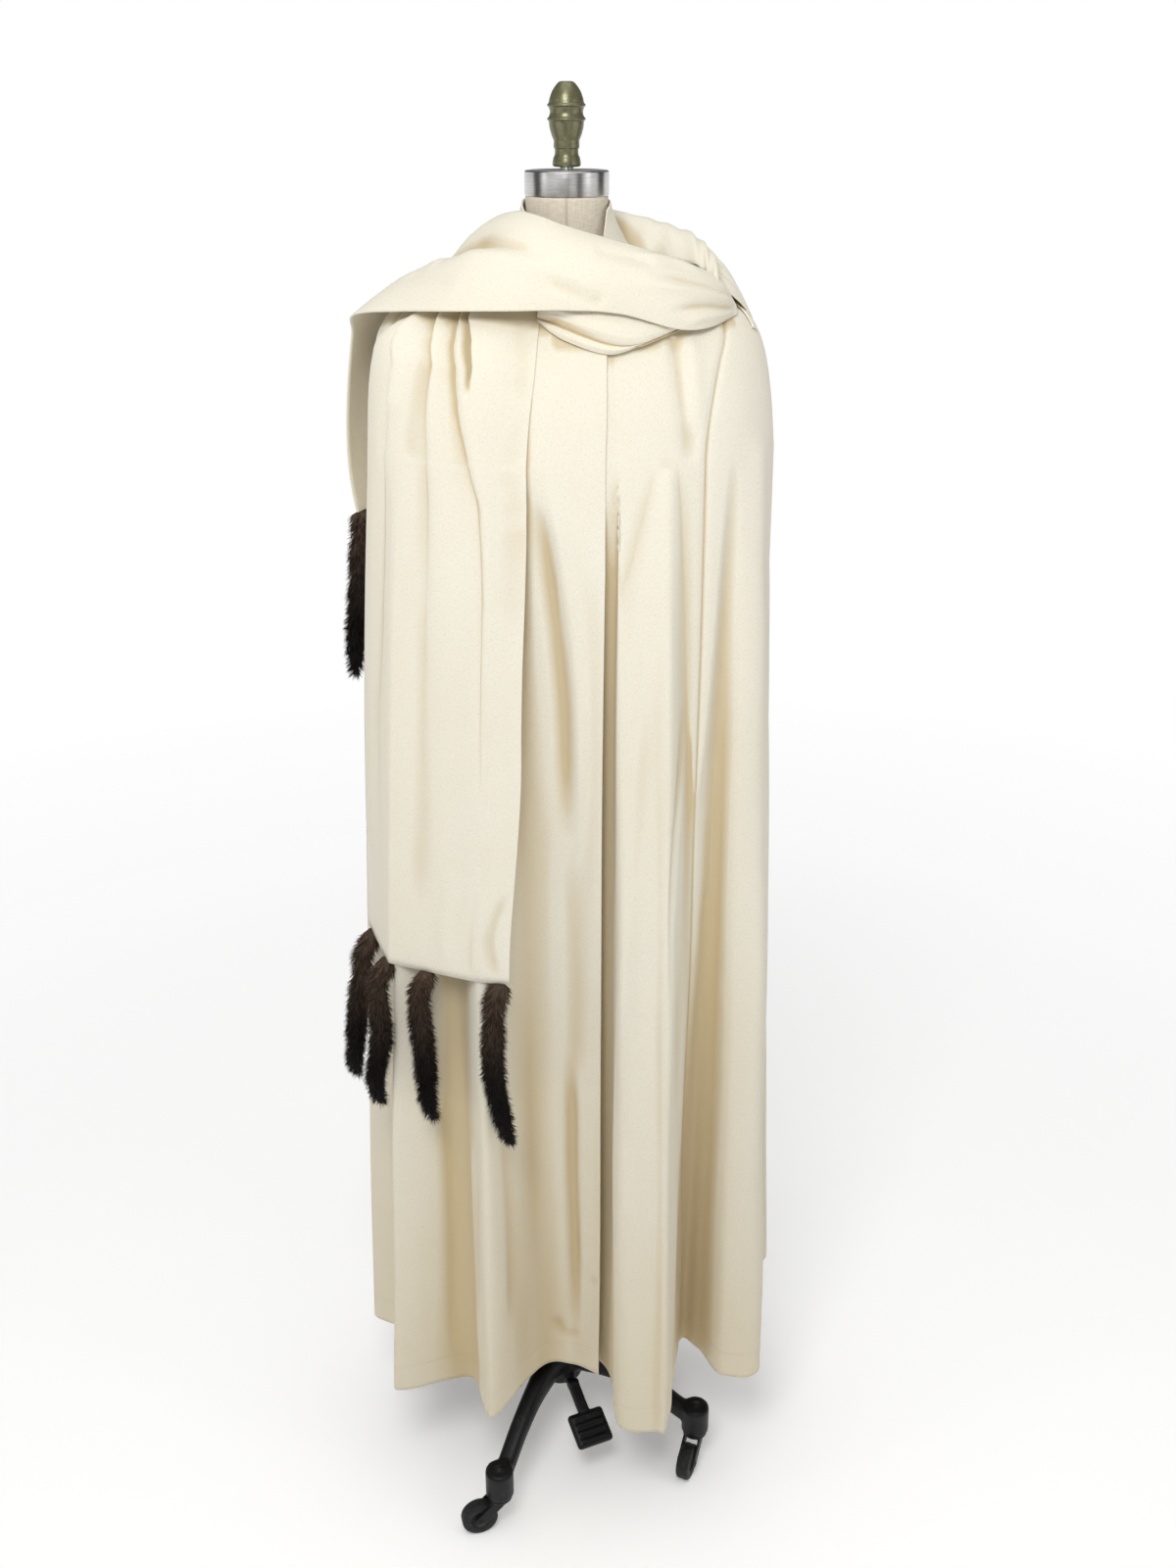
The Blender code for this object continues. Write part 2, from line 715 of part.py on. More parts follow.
def tail(name, root, row, material):
    """Fur tail that hangs from a root, clear of the cape's folds."""
    _, length, sway_middle, sway_tip, stand_out = row
    root_turn = math.degrees(math.atan2(-root.x, -root.y))
    root_reach = Vector((root.x, root.y, 0.0)).length
    rings = []
    for share, radius in TAIL_PROFILE:
        sway = sway_middle * math.sin(math.pi * share) + sway_tip * share ** 2
        turn = root_turn - math.degrees(sway / root_reach)
        centre = on_wrap(turn, drop_at(root.z - length * share), radius + TAIL_CLEAR)
        reach = max(centre.xy.length, root_reach)
        centre = heading(turn) * (lerp(root_reach, reach, smooth(share / TAIL_TURN_OUT)) + stand_out * share)
        centre.z = root.z - length * share
        rings.append([centre + heading(360.0 * k / TAIL_SIDES) * radius for k in range(TAIL_SIDES)])
    loft(name, rings, material, 80.0)


def make_tails(material):
    under = Vector((0.0, 0.0, SEAM_GAP))
    for number, row in enumerate(FRONT_TAILS, 1):
        edge = front_fall_point(row[0], FRONT_FALL[-1][0])
        root = edge - edge.xy.to_3d().normalized() * (SCARF_WALL / 2) - under
        tail(f"tail_front_{number}", root, row, material)
    last = len(OUTER_WRAP) - 1
    end = strip_rows(outer_wrap_edges, last - 1, last, 2, TAIL_PLACES)
    for number, row in enumerate(BACK_TAILS, 1):
        edge = end[round(row[0] * TAIL_PLACES)][-1]
        root = edge - edge.xy.to_3d().normalized() * (SCARF_WALL / 2) - under
        tail(f"tail_back_{number}", root, row, material)


def make_tab(material):
    lift = TAB_WALL + TAB_SEAT
    rows = []
    for k in range(TAB_STEPS + 1):
        front_turn, front_drop, back_turn, back_drop = flow(TAB, k / TAB_STEPS * (len(TAB) - 1))
        rows.append([on_yoke(back_turn, back_drop, lift), on_yoke(front_turn, front_drop, lift)])
    cloth("shoulder_tab", rows, TAB_WALL, material)


def both_sides(section):
    """Section with one half width given for both sides."""
    height, half_width, *rest = section
    return (height, half_width, half_width, *rest)


def make_form(cloth_finish, steel, wood):
    turns = [360.0 * k / TORSO_COLUMNS for k in range(TORSO_COLUMNS)]
    rings = [[oval(turn, both_sides((*section, section[-1], 2.0))) for turn in turns] for section in NECK]
    inset = -(CAPE_WALL + SEAT_GAP)
    rings += [[on_yoke(turn, drop, inset) for turn in turns] for drop in SEATED_DROPS]
    rings += [[oval(turn, both_sides(section)) for turn in turns] for section in TORSO]
    loft("form_torso", rings, cloth_finish, 50.0)
    cap_top = CAP_BOTTOM + CAP_HEIGHT
    cap = ((cap_top, 0.0), (cap_top, CAP_RADIUS - CAP_EDGE), (cap_top - CAP_EDGE, CAP_RADIUS),
           (CAP_BOTTOM, CAP_RADIUS), (CAP_BOTTOM, 0.0))
    turned("form_neck_cap", cap, steel, 40)
    stud_bottom = cap_top + SEAM_GAP
    stud_top = stud_bottom + STUD_HEIGHT
    stud = ((stud_top, 0.0), (stud_top, STUD_RADIUS), (stud_bottom, STUD_RADIUS), (stud_bottom, 0.0))
    turned("form_stud", stud, steel, 16)
    foot = stud_top + SEAM_GAP
    turned("form_finial", [(foot + height, radius) for height, radius in FINIAL], wood, 18)


def pivot(name, x, y, z=0.0, angle=0.0, parent=None):
    """Empty that carries pieces, turned about Z by an angle in radians."""
    item = bpy.data.objects.new(name, None)
    item.location = (x, y, z)
    item.rotation_euler = (0.0, 0.0, angle)
    item.parent = parent
    PARTS.objects.link(item)
    return item


def helper(name, mesh, parent=None):
    """Hidden body that another object is joined with."""
    item = bpy.data.objects.new(name, mesh)
    item.hide_render = True
    item.display_type = "WIRE"
    item.parent = parent
    HELPERS.objects.link(item)
    return item


def join(item, other):
    union = item.modifiers.new(other.name, "BOOLEAN")
    union.operation = "UNION"
    union.object = other


def settled(item):
    """The object's shape as a plain mesh, with the object and its helpers removed."""
    deps = bpy.context.evaluated_depsgraph_get()
    mesh = bpy.data.meshes.new_from_object(item.evaluated_get(deps))
    for other in [step.object for step in item.modifiers if step.type == "BOOLEAN"] + [item]:
        bpy.data.objects.remove(other, do_unlink=True)
    return mesh


def cylinder(radius, bottom, top, centre=(0.0, 0.0), segments=24):
    def build(shape):
        middle = Matrix.Translation((centre[0], centre[1], (bottom + top) / 2))
        bmesh.ops.create_cone(shape, cap_ends=True, segments=segments, radius1=radius, radius2=radius,
                              depth=top - bottom, matrix=middle)
    return mesh_from("cylinder", build)


def box(size, matrix, rounding=0.0):
    def build(shape):
        bmesh.ops.create_cube(shape, size=1.0, matrix=matrix @ Matrix.Diagonal((*size, 1.0)))
        if rounding:
            bmesh.ops.bevel(shape, geom=shape.edges[:], offset=rounding, segments=2, affect="EDGES",
                            profile=0.5)
    return mesh_from("box", build)


def plate(outline, y_from, y_to):
    """Flat plate with an outline of (x, z) between two depths."""
    def build(shape):
        face = shape.faces.new([shape.verts.new((x, y_from, z)) for x, z in outline])
        grown = bmesh.ops.extrude_face_region(shape, geom=[face])["geom"]
        moved = [part for part in grown if isinstance(part, bmesh.types.BMVert)]
        bmesh.ops.translate(shape, verts=moved, vec=(0.0, y_to - y_from, 0.0))
        bmesh.ops.recalc_face_normals(shape, faces=shape.faces)
    return mesh_from("plate", build)


def leg_mesh(turn):
    """Arched leg of chamfered box sections from the hub out to its socket."""
    along = heading(turn)
    side = Vector((-along.y, along.x, 0.0))
    up = Vector((0.0, 0.0, 1.0))
    rings = []
    for radius, height, width, depth in LEG:
        w, d = width / 2, depth / 2
        cut = w * (1.0 - LEG_CHAMFER)
        corners = ((-w, -d), (w, -d), (w, d / 2), (cut, d), (-cut, d), (-w, d / 2))
        rings.append([along * radius + side * x + up * (height + z) for x, z in corners])

    def build(shape):
        verts = net(shape, rings, closed=True)
        shape.faces.new(verts[0])
        shape.faces.new(verts[-1])
        bmesh.ops.recalc_face_normals(shape, faces=shape.faces)
    return mesh_from("leg", build)


def leg_turn(number):
    return FRONT_LEG_TURN - 360.0 / LEG_COUNT * (number - 1)


def make_base(iron, stand):
    base = place("stand_base", cylinder(HUB_RADIUS, HUB_BOTTOM, HUB_TOP, segments=32), iron)
    base.parent = stand
    facing = heading(PEDAL_TURN)
    boss_end = PEDAL_PIVOT[0] - PEDAL_ARM[1] / 2 - PEDAL_PLAY
    boss_at = Matrix.Translation(facing * (boss_end / 2) + Vector((0.0, 0.0, PEDAL_PIVOT[1])))
    turn_boss = Matrix.Rotation(math.atan2(facing.y, facing.x), 4, "Z")
    boss = box((boss_end, *PEDAL_ARM), boss_at @ turn_boss)
    join(base, helper("pedal_boss", boss, stand))
    for number in range(1, LEG_COUNT + 1):
        end = heading(leg_turn(number)) * LEG_REACH
        at = (end.x, end.y)
        socket = cylinder(SOCKET_RADIUS, SOCKET_BOTTOM, SOCKET_TOP, at)
        nub = cylinder(NUB_RADIUS, SOCKET_TOP - NUB_HEIGHT, SOCKET_TOP + NUB_HEIGHT, at, 10)
        join(base, helper(f"leg_{number}", leg_mesh(leg_turn(number)), stand))
        join(base, helper(f"socket_{number}", socket, stand))
        join(base, helper(f"nub_{number}", nub, stand))


def fork_mesh(iron):
    """Caster fork about its swivel axis, trailing towards +X: a crown and two cheeks."""
    crown_top = SOCKET_BOTTOM - SEAM_GAP
    crown_bottom = crown_top - CROWN_HEIGHT
    shoulder = crown_bottom + CROWN_HEIGHT / 2
    outline = [(-CHEEK_TOP, shoulder), (CHEEK_TOP, shoulder)]
    for k in range(CHEEK_STEPS + 1):
        angle = math.radians(lerp(*CHEEK_ARC, k / CHEEK_STEPS))
        rounding = Vector((math.cos(angle), math.sin(angle))) * CHEEK_RADIUS
        outline.append((TRAIL + rounding.x, WHEEL_RADIUS + rounding.y))
    inner = WHEEL_WIDTH / 2 + FORK_PLAY
    fork = place("fork", cylinder(CROWN_RADIUS, crown_bottom, crown_top), iron)
    for name, side in (("cheek_left", 1.0), ("cheek_right", -1.0)):
        join(fork, helper(name, plate(outline, side * inner, side * (inner + FORK_WALL))))
    return settled(fork)


def wheel_mesh(rubber):
    """Wheel about its axle at the origin, the axle along Y, with a flat of its tread straight down."""
    rim = WHEEL_RADIUS / math.cos(math.pi / WHEEL_SIDES)
    half = WHEEL_WIDTH / 2
    profile = (
        (half - HUB_DISH, 0.0),
        (half - HUB_DISH, 0.45 * rim),
        (half, 0.55 * rim),
        (half, rim - WHEEL_ROUNDING),
        (half - WHEEL_ROUNDING, rim),
    )
    profile += tuple((-height, radius) for height, radius in reversed(profile))
    mesh = settled(turned("wheel", profile, rubber, WHEEL_SIDES))
    half_flat = Matrix.Rotation(math.pi / WHEEL_SIDES, 4, "Z")
    mesh.transform(Matrix.Rotation(math.pi / 2, 4, "X") @ half_flat)
    return mesh


def make_casters(iron, rubber, stand):
    fork, wheel = fork_mesh(iron), wheel_mesh(rubber)
    for number, trail in enumerate(CASTER_TRAIL, 1):
        end = heading(leg_turn(number)) * LEG_REACH
        swivel = pivot(f"swivel_{number}", end.x, end.y, 0.0, math.radians(trail), stand)
        place(f"caster_fork_{number}", fork, iron).parent = swivel
        roller = place(f"caster_wheel_{number}", wheel, rubber)
        roller.parent = swivel
        roller.location = (TRAIL, 0.0, WHEEL_RADIUS)


def make_pedal(iron, stand):
    facing = heading(PEDAL_TURN)
    reach, height = PEDAL_PIVOT
    hinge = pivot("pedal_hinge", facing.x * reach, facing.y * reach, height,
                  math.atan2(facing.y, facing.x), stand)
    arm_wide, arm_deep = PEDAL_ARM
    pad_at = Vector((PEDAL_PAD_REACH - reach, 0.0, PEDAL_PAD_Z - height))
    slope = math.atan2(-pad_at.z, pad_at.x)
    tilt = Matrix.Rotation(slope, 4, "Y")
    pedal = place("stand_pedal", box(PEDAL_PAD, Matrix.Translation(pad_at) @ tilt, PEDAL_ROUNDING), iron)
    pedal.parent = hinge
    arm_at = tilt @ Matrix.Translation((pad_at.length / 2, 0.0, 0.0))
    arm = box((pad_at.length, arm_wide, arm_deep * ARM_THINNING), arm_at)
    join(pedal, helper("pedal_arm", arm, hinge))
    knuckle = cylinder(arm_deep / 2, -arm_wide / 2, arm_wide / 2)
    knuckle.transform(Matrix.Rotation(math.pi / 2, 4, "X"))
    join(pedal, helper("pedal_knuckle", knuckle, hinge))
    for k in range(PEDAL_RIBS):
        along = lerp(-PEDAL_RIB_SPAN, PEDAL_RIB_SPAN, k / (PEDAL_RIBS - 1)) * PEDAL_PAD[0]
        seat = Matrix.Translation(pad_at) @ tilt @ Matrix.Translation((along, 0.0, PEDAL_PAD[2] / 2))
        join(pedal, helper(f"pedal_rib_{k + 1}", box(PEDAL_RIB, seat), hinge))


def make_stand(iron, steel, rubber):
    stand = pivot("stand", STAND_X, STAND_Y)
    make_base(iron, stand)
    make_casters(iron, rubber, stand)
    make_pedal(iron, stand)
    bottom = HUB_TOP + SEAM_GAP
    sleeve = ((SLEEVE_TOP, SLEEVE_BORE), (SLEEVE_TOP, SLEEVE_OUTER), (bottom, SLEEVE_OUTER),
              (bottom, SLEEVE_BORE), (SLEEVE_TOP, SLEEVE_BORE))
    turned("stand_sleeve", sleeve, steel, 24).parent = stand
    pole_top = TORSO[-1][0] - SEAM_GAP
    pole = ((pole_top, 0.0), (pole_top, POLE_RADIUS), (bottom, POLE_RADIUS), (bottom, 0.0))
    turned("form_pole", pole, steel, 24).parent = stand


def main():
    clear_scene()
    wool = finish("ivory wool crepe", (0.86, 0.79, 0.62), 0.9)
    fur = finish("brown fur", (0.03, 0.018, 0.012), 0.7)
    linen = finish("form linen", (0.62, 0.55, 0.44), 0.85)
    steel = finish("brushed steel", (0.55, 0.54, 0.52), 0.32, 1.0)
    wood = finish("gold green painted wood", (0.33, 0.32, 0.19), 0.42, 0.2)
    iron = finish("black cast iron", (0.018, 0.018, 0.02), 0.45)
    rubber = finish("black rubber", (0.012, 0.012, 0.012), 0.6)
    make_cape(wool)
    make_scarf(wool)
    make_tab(wool)
    make_tails(fur)
    make_form(linen, steel, wood)
    make_stand(iron, steel, rubber)


PARTS = make_collection(COLLECTION)
HELPERS = make_collection("Helpers")
main()
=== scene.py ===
"""Looks of a full-length cape with a scarf and fur tails, on a dress form with a caster stand.

Metres, +Z up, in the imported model's own frame. Left and right are the wearer's. A turn is an angle
about the Z axis in degrees: 0 faces the front (-Y), 90 the wearer's right (-X) and 180 the back.
"""

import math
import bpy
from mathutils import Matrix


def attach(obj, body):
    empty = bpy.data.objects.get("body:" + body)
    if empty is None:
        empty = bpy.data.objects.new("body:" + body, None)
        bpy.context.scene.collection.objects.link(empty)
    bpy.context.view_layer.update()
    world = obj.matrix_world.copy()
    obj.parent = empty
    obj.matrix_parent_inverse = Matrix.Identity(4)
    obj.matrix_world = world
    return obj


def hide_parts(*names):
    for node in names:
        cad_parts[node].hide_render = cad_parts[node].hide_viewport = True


bl_info = {
    "name": "Cape on a dress form",
    "version": (1, 0, 0),
    "blender": (4, 5, 0),
    "location": "View3D > Sidebar > Cape",
    "description": "Dresses the packed cape, scarf, form and stand",
    "category": "Object",
}

import bmesh
import bpy
import numpy as np
from bpy.props import FloatProperty, FloatVectorProperty, IntProperty, PointerProperty
from mathutils import Matrix, Vector
from mathutils.bvhtree import BVHTree

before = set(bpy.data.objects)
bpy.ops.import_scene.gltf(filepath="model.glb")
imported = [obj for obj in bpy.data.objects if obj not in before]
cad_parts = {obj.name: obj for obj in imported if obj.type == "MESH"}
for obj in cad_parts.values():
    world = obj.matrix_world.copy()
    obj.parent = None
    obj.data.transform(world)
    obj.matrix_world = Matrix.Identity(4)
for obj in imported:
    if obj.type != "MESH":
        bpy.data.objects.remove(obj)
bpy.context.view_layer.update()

# The cape over the shoulders: horizontal sections from the neck down to the break.
# height, half width right, half width left, depth in front, depth behind, squareness (2 is an ellipse)
BREAK_Z = 1.470
HEM_Z = 0.180
YOKE = (
    (1.655, 0.085, 0.085, 0.066, 0.064, 2.0),
    (1.640, 0.142, 0.142, 0.086, 0.082, 2.0),
    (1.622, 0.183, 0.183, 0.104, 0.098, 2.1),
    (1.600, 0.206, 0.208, 0.122, 0.114, 2.2),
    (1.570, 0.215, 0.2205, 0.136, 0.130, 2.3),
    (1.523, 0.218, 0.229, 0.146, 0.144, 2.4),
    (BREAK_Z, 0.221, 0.234, 0.150, 0.153, 2.4),
)

# The cape's folds, once round from the right front edge to the left front edge.
# turn at the neck, turn at the break, hem x, hem y, share of the fall before the fold starts
FOLDS = (
    (-12.8, -7.2, 0.037, -0.109, 0.10),
    (0.0, 1.0, 0.000, -0.088, 0.05),
    (10.0, 12.0, -0.047, -0.095, 0.00),
    (22.0, 22.0, -0.108, -0.187, 0.00),
    (36.0, 33.0, -0.142, -0.114, 0.00),
    (56.0, 49.0, -0.246, -0.136, 0.00),
    (74.0, 62.0, -0.217, -0.040, 0.00),
    (92.0, 90.0, -0.294, 0.012, 0.00),
    (106.0, 106.0, -0.232, 0.072, 0.00),
    (120.0, 122.0, -0.258, 0.166, 0.00),
    (135.0, 137.0, -0.166, 0.134, 0.00),
    (151.0, 151.0, -0.136, 0.226, 0.00),
    (166.0, 166.0, -0.060, 0.150, 0.00),
    (180.0, 180.0, 0.004, 0.236, 0.00),
    (194.0, 194.0, 0.064, 0.154, 0.00),
    (209.0, 209.0, 0.140, 0.228, 0.00),
    (225.0, 224.0, 0.170, 0.140, 0.00),
    (241.0, 241.0, 0.298, 0.148, 0.00),
    (256.0, 259.0, 0.246, 0.052, 0.06),
    (266.0, 284.0, 0.266, -0.092, 0.12),
    (277.0, 302.0, 0.212, -0.110, 0.06),
    (284.0, 314.0, 0.178, -0.056, 0.00),
    (290.0, 324.0, 0.154, -0.047, 0.30),
    (311.0, 334.0, 0.131, -0.197, 0.00),
    (328.5, 340.0, 0.113, -0.213, 0.00),
    (342.0, 348.6, 0.062, -0.198, 0.10),
    (346.5, 350.4, 0.053, -0.104, 0.00),
    (351.0, 355.5, 0.020, -0.064, 0.08),
)
# How quickly the folds open below the break: a lead added to the share of the fall, and a power
FOLD_LEAD = 0.05
FOLD_POWER = 0.6
# The right front's edge over the left front: lift, fold rows it takes, drops between which the two part
LAP_LIFT = 0.0030
LAP_FOLDS = 2.0
LAP_DROPS = (1.25, 1.55)
# Least distance from the two front edges at which the cape's lie is measured, in folds
FOLD_MARGIN = 0.05
# Gap between neighbouring pieces, and between the cape and the form under it
SEAM_GAP = 0.0003
SEAT_GAP = 0.0005

# Panels: piece, node, first fold row, last fold row, width and length before hanging, flat area
PANELS = (
    ("right_front_cloth", "cape_front_right", 0, 6, 0.62, 1.50, 0.60),
    ("right_side_cloth", "cape_side_right", 6, 10, 0.50, 1.50, 0.48),
    ("back_cloth", "cape_back", 10, 16, 0.76, 1.50, 0.70),
    ("left_side_cloth", "cape_side_left", 16, 22, 0.66, 1.50, 0.62),
    ("left_front_cloth", "cape_front_left", 22, 27, 0.52, 1.50, 0.45),
)
# Other cloth: piece, node, width and length before hanging, how it is held, what it rests on
SCARF_SHEETS = (
    ("front_fall_cloth", "scarf_front_fall", 0.32, 0.72, "gathered", ["cape_front_right"]),
    ("chest_band_cloth", "scarf_cross", 0.105, 0.46, "draped", ["cape_front_right", "cape_front_left"]),
    ("back_fall_cloth", "scarf_back_fall", 0.26, 0.40, "hung", ["cape_back"]),
    ("neck_wrap_cloth", "scarf_neck", 0.14, 0.36, "gathered", ["cape_back"]),
    ("under_fold_cloth", "scarf_under_drape", 0.062, 0.120, "draped", ["cape_front_right"]),
)
COLLAR_SHEETS = (
    ("collar_cloth", "collar", 0.078, 0.34, "stretched", ["form_torso"]),
    ("slot_tab_cloth", "shoulder_tab", 0.0115, 0.044, "stretched", ["cape_side_left"]),
)

# Soft folds of the cape besides its main ones.
# places as fold and drop, half width towards lower folds, towards higher folds, height (a trough is below 0)
CAPE_CREASES = (
    (((1.45, 1.00), (1.25, 1.08), (1.02, 1.18), (0.96, 1.26), (1.00, 1.36)), 0.009, 0.014, -0.0090),
    (((1.15, 1.00), (0.92, 1.10), (0.74, 1.20), (0.70, 1.30), (0.74, 1.40)), 0.010, 0.007, 0.0035),
    (((1.02, 1.34), (0.90, 1.45), (0.86, 1.55), (0.90, 1.62)), 0.014, 0.010, -0.0030),
    (((0.95, 1.58), (0.92, 1.66), (0.92, 1.74), (0.88, 1.84), (0.90, 1.96)), 0.008, 0.010, -0.0085),
    (((0.70, 1.60), (0.66, 1.72), (0.66, 1.86), (0.68, 1.97)), 0.012, 0.006, 0.0025),
    (((0.20, 1.865), (0.45, 1.872), (0.72, 1.862)), 0.007, 0.007, -0.0018),
    (((2.60, 1.62), (2.50, 1.76), (2.55, 1.92)), 0.016, 0.010, -0.0040),
    (((4.20, 1.62), (4.16, 1.74), (4.20, 1.98)), 0.010, 0.012, -0.0050),
    (((3.60, 1.66), (3.66, 1.80), (3.62, 1.97)), 0.010, 0.008, 0.0030),
    (((1.60, 1.93), (1.20, 1.955), (0.70, 1.95)), 0.008, 0.008, -0.0030),
    (((23.75, 1.05), (23.72, 1.28), (23.56, 1.575), (23.24, 1.925), (23.20, 1.99)), 0.012, 0.008, 0.0040),
    (((23.86, 1.08), (23.84, 1.28), (23.70, 1.575), (23.44, 1.98)), 0.007, 0.012, -0.0025),
    (((23.68, 0.42), (23.45, 0.56), (23.10, 0.72), (22.72, 0.87), (22.50, 1.00)), 0.012, 0.009, -0.0050),
    (((23.28, 0.46), (22.98, 0.60), (22.66, 0.78), (22.45, 0.90)), 0.012, 0.010, 0.0035),
    (((22.64, 1.20), (22.80, 1.29), (22.96, 1.34), (23.24, 1.435), (23.30, 1.52)), 0.006, 0.012, -0.0045),
    (((24.30, 1.18), (24.44, 1.27), (24.60, 1.375), (24.76, 1.475), (24.80, 1.60)), 0.014, 0.010, -0.0035),
    (((24.70, 1.62), (24.50, 1.76), (24.55, 1.95)), 0.016, 0.010, -0.0030),
    (((19.95, 0.90), (19.72, 1.06), (19.56, 1.24), (19.48, 1.50), (19.40, 1.90)), 0.016, 0.020, 0.0060),
    (((19.15, 1.30), (19.08, 1.55), (19.12, 1.90)), 0.012, 0.012, -0.0030),
    (((5.40, 1.10), (5.20, 1.40), (5.32, 1.75), (5.20, 1.95)), 0.012, 0.016, -0.0040),
    (((7.40, 1.05), (7.62, 1.30), (7.50, 1.62), (7.56, 1.94)), 0.016, 0.012, -0.0050),
    (((8.60, 1.12), (8.45, 1.42), (8.62, 1.80)), 0.014, 0.018, 0.0040),
    (((9.30, 1.20), (9.46, 1.55), (9.40, 1.92)), 0.012, 0.016, -0.0045),
    (((10.62, 1.04), (10.50, 1.34), (10.66, 1.70), (10.60, 1.95)), 0.016, 0.012, -0.0050),
    (((12.40, 1.08), (12.62, 1.36), (12.50, 1.66), (12.58, 1.93)), 0.014, 0.010, 0.0045),
    (((13.60, 1.02), (13.42, 1.30), (13.55, 1.60), (13.46, 1.94)), 0.012, 0.018, -0.0055),
    (((14.50, 1.16), (14.62, 1.48), (14.46, 1.86)), 0.016, 0.012, 0.0040),
    (((15.40, 1.06), (15.55, 1.36), (15.44, 1.66), (15.56, 1.92)), 0.012, 0.016, -0.0050),
    (((17.40, 1.10), (17.56, 1.42), (17.46, 1.78), (17.50, 1.96)), 0.016, 0.012, -0.0045),
    (((18.40, 1.14), (18.55, 1.50), (18.44, 1.88)), 0.014, 0.016, 0.0035),
    (((12.1, 0.62), (12.5, 0.78), (12.7, 0.98)), 0.016, 0.012, -0.0035),
    (((14.8, 0.64), (14.4, 0.80), (14.2, 1.00)), 0.012, 0.016, -0.0035),
    (((17.8, 0.60), (17.6, 0.78), (17.5, 1.00)), 0.014, 0.012, -0.0030),
)
# Points read along a soft fold
CREASE_STEPS = 240
# Painted shade in the hollows of the cloth: reach and passes with which they are measured, depth of a full
# one
HOLLOW_REACH = 0.012
HOLLOW_PASSES = 3
HOLLOW_DEPTH = 0.0045
# Painted shade where other cloth shelters the cloth, an occlusion painted into its colour: every how many
# points it is measured, and every how many points the other cloth is made of, rays sent out, least cosine
# between them and the cloth's facing, where they start and how far they reach, how much of the air must be
# taken for none and for full painted shade, its strength
SHELTER_STEP = 4
SHELTER_CLOTH_STEP = 2
SHELTER_RAYS = 64
SHELTER_FACING = 0.1
SHELTER_START = 0.003
SHELTER_REACH = 0.12
SHELTER_RANGE = (0.06, 0.46)
SHELTER_PAINTED_SHADE = 1.0
# Slack of the cape: start of the random draws, waves, shortest and longest wave across the cloth, shortest
# wave down it, drops over which it comes in
SLACK_SEED = 3
SLACK_WAVES = 7
SLACK_LENGTHS = (0.05, 0.13)
SLACK_FALL = 0.30
SLACK_DROPS = (0.6, 1.2)
# Pinch of a seam: depth, half width, drops over which it comes in, painted shade along it, and the places of
# extra mesh columns beside it, in folds
SEAM_PINCH = 0.0020
SEAM_SPREAD = 0.0050
PINCH_DROPS = (0.2, 0.5)
SEAM_PAINTED_SHADE = 0.8
SEAM_COLUMNS = (0.03, 0.07)
# Hem: height of its stitching above the edge, and half the height of the stitched line
HEM_TURN_UP = 0.040
HEM_STITCH = 0.0015

# The scarf's front fall. drop, turn of its inner edge, turn of its outer edge
FRONT_FALL = (
    (0.25, 14.0, 66.0),
    (0.63, 13.0, 77.5),
    (1.00, 15.5, 85.0),
    (1.25, 17.5, 87.0),
    (1.475, 22.0, 85.0),
)
# Lift of the front fall above the folds, what is added below the break, the drops over which that comes in
FRONT_FALL_LIFT = 0.0030
FRONT_FALL_STAND_OFF = 0.0025
STAND_OFF_DROPS = (0.8, 1.2)
# Pleats of the front fall, each with its sharp side outwards: drop, inner and outer side of the wedge in the
# first pleat, outer sides of the first three pleats, heights of the four pleats, depth of the wedge
PLEATS = (
    (0.25, 0.575, 0.648, 0.700, 0.850, 0.970, 0.0165, 0.0150, 0.0140, 0.0060, 0.95),
    (0.33, 0.548, 0.620, 0.665, 0.800, 0.965, 0.0180, 0.0165, 0.0155, 0.0060, 0.95),
    (0.42, 0.448, 0.520, 0.580, 0.705, 0.925, 0.0200, 0.0175, 0.0170, 0.0080, 0.95),
    (0.50, 0.378, 0.448, 0.515, 0.632, 0.860, 0.0210, 0.0170, 0.0170, 0.0085, 0.92),
    (0.63, 0.324, 0.380, 0.450, 0.567, 0.782, 0.0205, 0.0145, 0.0155, 0.0075, 0.80),
    (0.71, 0.312, 0.348, 0.418, 0.556, 0.765, 0.0190, 0.0120, 0.0135, 0.0065, 0.45),
    (0.77, 0.300, 0.325, 0.388, 0.545, 0.753, 0.0175, 0.0100, 0.0120, 0.0060, 0.00),
    (0.85, 0.280, 0.300, 0.350, 0.522, 0.735, 0.0155, 0.0085, 0.0100, 0.0052, 0.00),
    (0.94, 0.250, 0.270, 0.304, 0.500, 0.730, 0.0130, 0.0070, 0.0080, 0.0040, 0.00),
    (1.00, 0.240, 0.260, 0.286, 0.496, 0.738, 0.0120, 0.0064, 0.0071, 0.0034, 0.00),
    (1.03, 0.200, 0.220, 0.241, 0.490, 0.745, 0.0095, 0.0050, 0.0050, 0.0020, 0.00),
    (1.11, 0.170, 0.190, 0.210, 0.480, 0.745, 0.0060, 0.0035, 0.0035, 0.0012, 0.00),
    (1.25, 0.160, 0.180, 0.200, 0.480, 0.745, 0.0022, 0.0015, 0.0018, 0.0005, 0.00),
    (1.36, 0.160, 0.180, 0.200, 0.480, 0.745, 0.0000, 0.0000, 0.0000, 0.0000, 0.00),
    (1.48, 0.160, 0.180, 0.200, 0.480, 0.745, 0.0000, 0.0000, 0.0000, 0.0000, 0.00),
)
# Where each pleat's crest lies across it, from the inner edge out
PLEAT_CRESTS = (0.80, 0.78, 0.84, 0.50)
# Sharpness of the pleats' outer sides at the top and lower down, and the drops between which it changes
PLEAT_POWERS = (0.45, 1.00)
PLEAT_DROPS = (0.75, 1.10)
